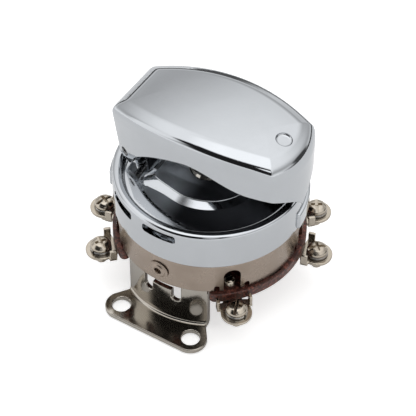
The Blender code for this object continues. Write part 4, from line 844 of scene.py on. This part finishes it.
def make_bracket():
    """Bracket with small rounded edges, and the tubular rivet that holds it to the drum."""
    mesh = bracket_mesh()
    bracket = piece("bracket_sheet", mesh, "switch_body", "bright_nickel", BRIGHT, ["mounting_bracket"])
    bracket.data.set_sharp_from_angle(angle=math.radians(35))
    rounded_edges(bracket, 0.3, 3)
    even_shade(bracket)
    out, inside = DRUM_R + 0.12, BRACKET_R - BRACKET_T - 0.12
    corners = [(1.1, out + 0.2), (1.25, out + 0.75), (2.2, out + 0.75), (2.55, out + 0.3), (3.4, out + 0.35),
               (3.4, out), (1.7, out), (1.7, inside), (2.6, inside), (2.6, inside - 0.6), (1.1, inside - 0.6)]
    profile = eased(corners, [0.1, 0.2, 0.3, 0.2, 0.15, 0.1, 0, 0, 0.1, 0.1, 0.1], 5)
    grid = lathe_grid(profile, 96)
    rivet = grid_mesh("band_rivet", np.stack((grid[..., 0], -grid[..., 2], RIVET_Z + grid[..., 1]), axis=-1))
    even_shade(piece("band_rivet", rivet, "switch_body", "satin_nickel", SATIN, ["bracket_rivet"]))


# Terminals


def terminal_piece(name, number, mesh, finish, node):
    """Numbered piece of a terminal that rides on the switch body."""
    shown = piece(f"{name}_{number}", mesh, "switch_body", "terminal_nickel", finish, [f"{node}_{number}"])
    return even_shade(shown)


def at_turn(radius, turn, z=0.0):
    """Point at a height on a circle about the switch axis."""
    return np.array((radius * math.cos(math.radians(turn)), radius * math.sin(math.radians(turn)), z))


def terminal_plate(number, turn):
    """Plate under the board with two upturned ears and a round end."""
    reach = math.degrees(math.asin(0.86))
    ear_in, ear_out = 30.9, 33.1
    outline = np.concatenate((circle_line((CONTACT_CIRCLE, 0), 3.0, 270, 90, 24, False),
                              ((30.3, 3.0), (ear_in, 5.5), (ear_out, 5.5)),
                              circle_line((SCREW_CIRCLE, 0), 4.8, reach + 50, -reach - 50, 48, False),
                              ((ear_out, -5.5), (ear_in, -5.5), (30.3, -3.0))))
    holes = [circle_line((CONTACT_CIRCLE, 0), 1.35, steps=32), circle_line((SCREW_CIRCLE, 0), 1.85, steps=48)]
    parts = [slab("plate", [outline] + holes, PLATE_LOW, PLATE_TOP, 0.2, 3)]
    for near in (-5.5, 4.5):
        low, high = (ear_in, near, PLATE_LOW + 0.05), (ear_out, near + 1.0, PLATE_TOP + 3.1)
        parts.append(block("ear", low, high, 0.2))
    mesh = joined(parts, f"terminal_tag_{number}")
    centre = Matrix.Translation(Vector(PLACE * MM))
    mesh.transform(centre @ Matrix.Rotation(math.radians(turn), 4, "Z") @ centre.inverted())
    terminal_piece("terminal_tag", number, mesh, WARM, "terminal_plate")


def pan_screw(number, turn):
    """Pan head with a slot and a short cross recess, over a plain shank with thread rings left off."""
    at = at_turn(SCREW_CIRCLE, turn)
    top, tip = HEAD_SEAT + HEAD_H, HEAD_SEAT - SHANK_LENGTH
    corners = [(0, top), (1.9, top - 0.1), (HEAD_R, top - 1.15), (HEAD_R, HEAD_SEAT), (SHANK_R, HEAD_SEAT),
               (SHANK_R, tip), (0, tip)]
    grid = lathe_grid(eased(corners, [0, 0.6, 0.5, 0.12, 0.1, 0.4, 0], 8), 96) + at
    spin = turn + math.degrees(0.9 * number)

    def recess(long, wide, deep):
        """Straight cut across the head."""
        loop = np.array(((-long, -wide), (long, -wide), (long, wide), (-long, wide)), float)
        return slab("recess", [loop], top - deep, top + 1, 0, 1, lambda p: turned_about(p, spin) + at)

    cuts = [("DIFFERENCE", recess(4.0, 0.5, 1.0)), ("DIFFERENCE", recess(0.5, 1.8, 1.2))]
    mesh = shaped(grid_mesh(f"pan_screw_{number}", grid), cuts)
    terminal_piece("pan_screw", number, mesh, WARM, "terminal_screw")


def split_washer(number, turn):
    """Spring washer: a rounded square section carried round most of a circle while it climbs a little."""
    x, y, low = at_turn(SCREW_CIRCLE, turn, PLATE_TOP + 0.12)
    gap_turn, half_gap, steps = 35, 6, 120
    top = low + WASHER_T
    corners = [(WASHER_R, low), (WASHER_R, top), (WASHER_BORE_R, top), (WASHER_BORE_R, low)]
    section = eased(corners, [0.15] * 4, 3)
    a = np.radians(turn + gap_turn + half_gap + np.linspace(0, 360 - 2 * half_gap, steps))[:, None]
    climb = np.linspace(0, 0.1, steps)[:, None]
    r, z = section[None, :, 0], section[None, :, 1]
    ring = np.stack((x + r * np.cos(a), y + r * np.sin(a), z + climb + 0 * a), axis=-1)
    ends = [np.broadcast_to(ring[k].mean(axis=0), ring[0].shape) for k in (0, -1)]
    mesh = grid_mesh(f"spring_washer_{number}", np.concatenate((ends[0][None], ring, ends[1][None])))
    terminal_piece("spring_washer", number, mesh, STEEL, "lock_washer")


def contact_rivet(number, turn):
    """Rivet with a domed head on the board and a clinched end under the plate."""
    foot, tail = BOARD_TOP + 0.12, PLATE_LOW - 0.12
    corners = [(0, foot + 2.0), (1.5, foot + 1.8), (2.1, foot), (1.2, foot), (1.2, tail), (1.9, tail),
               (1.8, tail - 0.6), (0, tail - 0.7)]
    profile = eased(corners, [0, 0.8, 0.15, 0, 0, 0.15, 0.25, 0], 6)
    mesh = grid_mesh(f"contact_rivet_{number}", lathe_grid(profile, 64) + at_turn(CONTACT_CIRCLE, turn))
    terminal_piece("contact_rivet", number, mesh, WARM, "terminal_rivet")


def make_terminals():
    """The five screw terminals."""
    for number, turn in enumerate(TERMINAL_TURNS, 1):
        for make in (terminal_plate, pan_screw, split_washer, contact_rivet):
            make(number, turn)


def finish_frame_nodes():
    """Materials for the inner pieces that keep their solids."""
    finishes = {
        STEEL: ["detent_plate", "drive_plate", "drive_screw_1", "drive_screw_2", "contact_spring",
                "detent_ball_1", "detent_ball_2", "detent_spring_1", "detent_spring_2", "retaining_clip",
                "lock_bolt"],
        BRASS: ["spindle_bush", "thrust_washer", "contact_bridge", "lock_barrel"],
        ROTOR: ["contact_rotor"]}
    for material, names in finishes.items():
        for name in names:
            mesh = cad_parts[name].data
            mesh.materials.clear()
            mesh.materials.append(material)


# Room, light and camera


def make_room():
    """White floor whose shadow is kept. It glows to the camera, and a little to mirrored rays."""
    half, low = 1.5, -0.0004
    floor_mesh = bpy.data.meshes.new("floor")
    corners = [(-half, -half, low), (half, -half, low), (half, half, low), (-half, half, low)]
    floor_mesh.from_pydata(corners, [], [(0, 1, 2, 3)])
    floor = bpy.data.objects.new("floor", floor_mesh)
    bpy.context.scene.collection.objects.link(floor)
    paper, tree, shader = new_material("white_floor")
    shader.inputs["Base Color"].default_value = (0.9, 0.9, 0.9, 1)
    shader.inputs["Roughness"].default_value = 1.0
    shader.inputs["Specular IOR Level"].default_value = 0.0
    rays = tree.nodes.new("ShaderNodeLightPath")
    camera, clear, glossy = [rays.outputs[f"Is {kind} Ray"] for kind in ("Camera", "Transmission", "Glossy")]
    seen = math_node(tree, "ADD", camera, clear, clamp=True)
    mirrored = math_node(tree, "MULTIPLY", glossy, 0.09)
    glow = math_node(tree, "MULTIPLY_ADD", seen, 0.55, mirrored)
    shader.inputs["Emission Color"].default_value = (1, 1, 1, 1)
    tree.links.new(glow, shader.inputs["Emission Strength"])
    floor_mesh.materials.append(paper)


def toward(azimuth, elevation):
    """Unit vector at an azimuth from the front and an elevation, in degrees."""
    a, e = math.radians(azimuth), math.radians(elevation)
    return math.sin(a) * math.cos(e), -math.cos(a) * math.cos(e), math.sin(e)


def make_sky():
    """World by direction: white to the camera; for light and reflections a soft box overhead, a dark side
    behind the camera, and a paler horizon with a dark line at the back.

    Each row of SKY_PATCHES pulls the brightness to its target within near degrees of a
    direction, and less and less out to far degrees.
    """
    world = bpy.data.worlds.new("studio")
    bpy.context.scene.world = world
    world.use_nodes = True
    tree = world.node_tree
    tree.nodes.clear()
    out = tree.nodes.new("ShaderNodeOutputWorld")
    direction = tree.nodes.new("ShaderNodeTexCoord").outputs["Generated"]
    axes = add_node(tree, "ShaderNodeSeparateXYZ", {0: direction}).outputs

    def blended(value, target, mask):
        """Value pulled to the target by the mask."""
        return add_node(tree, "ShaderNodeMix", {0: mask, 2: value, 3: target}, data_type="FLOAT").outputs[0]

    up = axes["Z"]
    low, high = spread(tree, up, 0.05, 0.40, 1.25, 0.62), spread(tree, up, 0.42, 0.84, 0.0, 0.72)
    value = math_node(tree, "ADD", low, high)
    behind = spread(tree, axes["Y"], 0.0, 0.5, 0.0, 1.0)
    value = blended(value, 0.12, math_node(tree, "MULTIPLY", behind, spread(tree, up, 0.10, 0.22, 1.0, 0.0)))
    for target, azimuth, elevation, near, far in SKY_PATCHES:
        dot = add_node(tree, "ShaderNodeVectorMath", {0: direction, 1: toward(azimuth, elevation)},
                       operation="DOT_PRODUCT").outputs["Value"]
        edge, full = math.cos(math.radians(far)), math.cos(math.radians(near))
        value = blended(value, target, spread(tree, dot, edge, full, 0.0, 1.0))
    rays = tree.nodes.new("ShaderNodeLightPath")
    back = add_node(tree, "ShaderNodeBackground", {"Color": (1, 1, 1, 1)})
    tree.links.new(blended(value, 1.0, rays.outputs["Is Camera Ray"]), back.inputs["Strength"])
    tree.links.new(back.outputs[0], out.inputs["Surface"])


def make_camera():
    """Camera of the photograph: azimuth, elevation, roll, distance and lens fitted to the round edges."""
    azimuth, elevation, roll = 31.48, 46.49, math.radians(0.28)
    aside, above, away = -0.56, 4.03, 525.28
    back = Vector(toward(azimuth, elevation))
    right = Vector((math.cos(math.radians(azimuth)), math.sin(math.radians(azimuth)), 0))
    up = back.cross(right)
    right, up = math.cos(roll) * right + math.sin(roll) * up, math.cos(roll) * up - math.sin(roll) * right
    eye = (right * aside + up * above + back * away + Vector(PLACE)) * MM
    data = bpy.data.cameras.new("camera")
    data.sensor_width = 36.0
    data.lens = 144.41
    camera = bpy.data.objects.new("camera", data)
    camera.matrix_world = Matrix.Translation(eye) @ Matrix((right, up, back)).transposed().to_4x4()
    bpy.context.scene.collection.objects.link(camera)
    bpy.context.scene.camera = camera


make_dial()
make_lever()
make_drum()
make_board()
make_bracket()
make_terminals()
finish_frame_nodes()
make_room()
make_sky()
make_camera()
bpy.context.scene.view_settings.view_transform = "Standard"
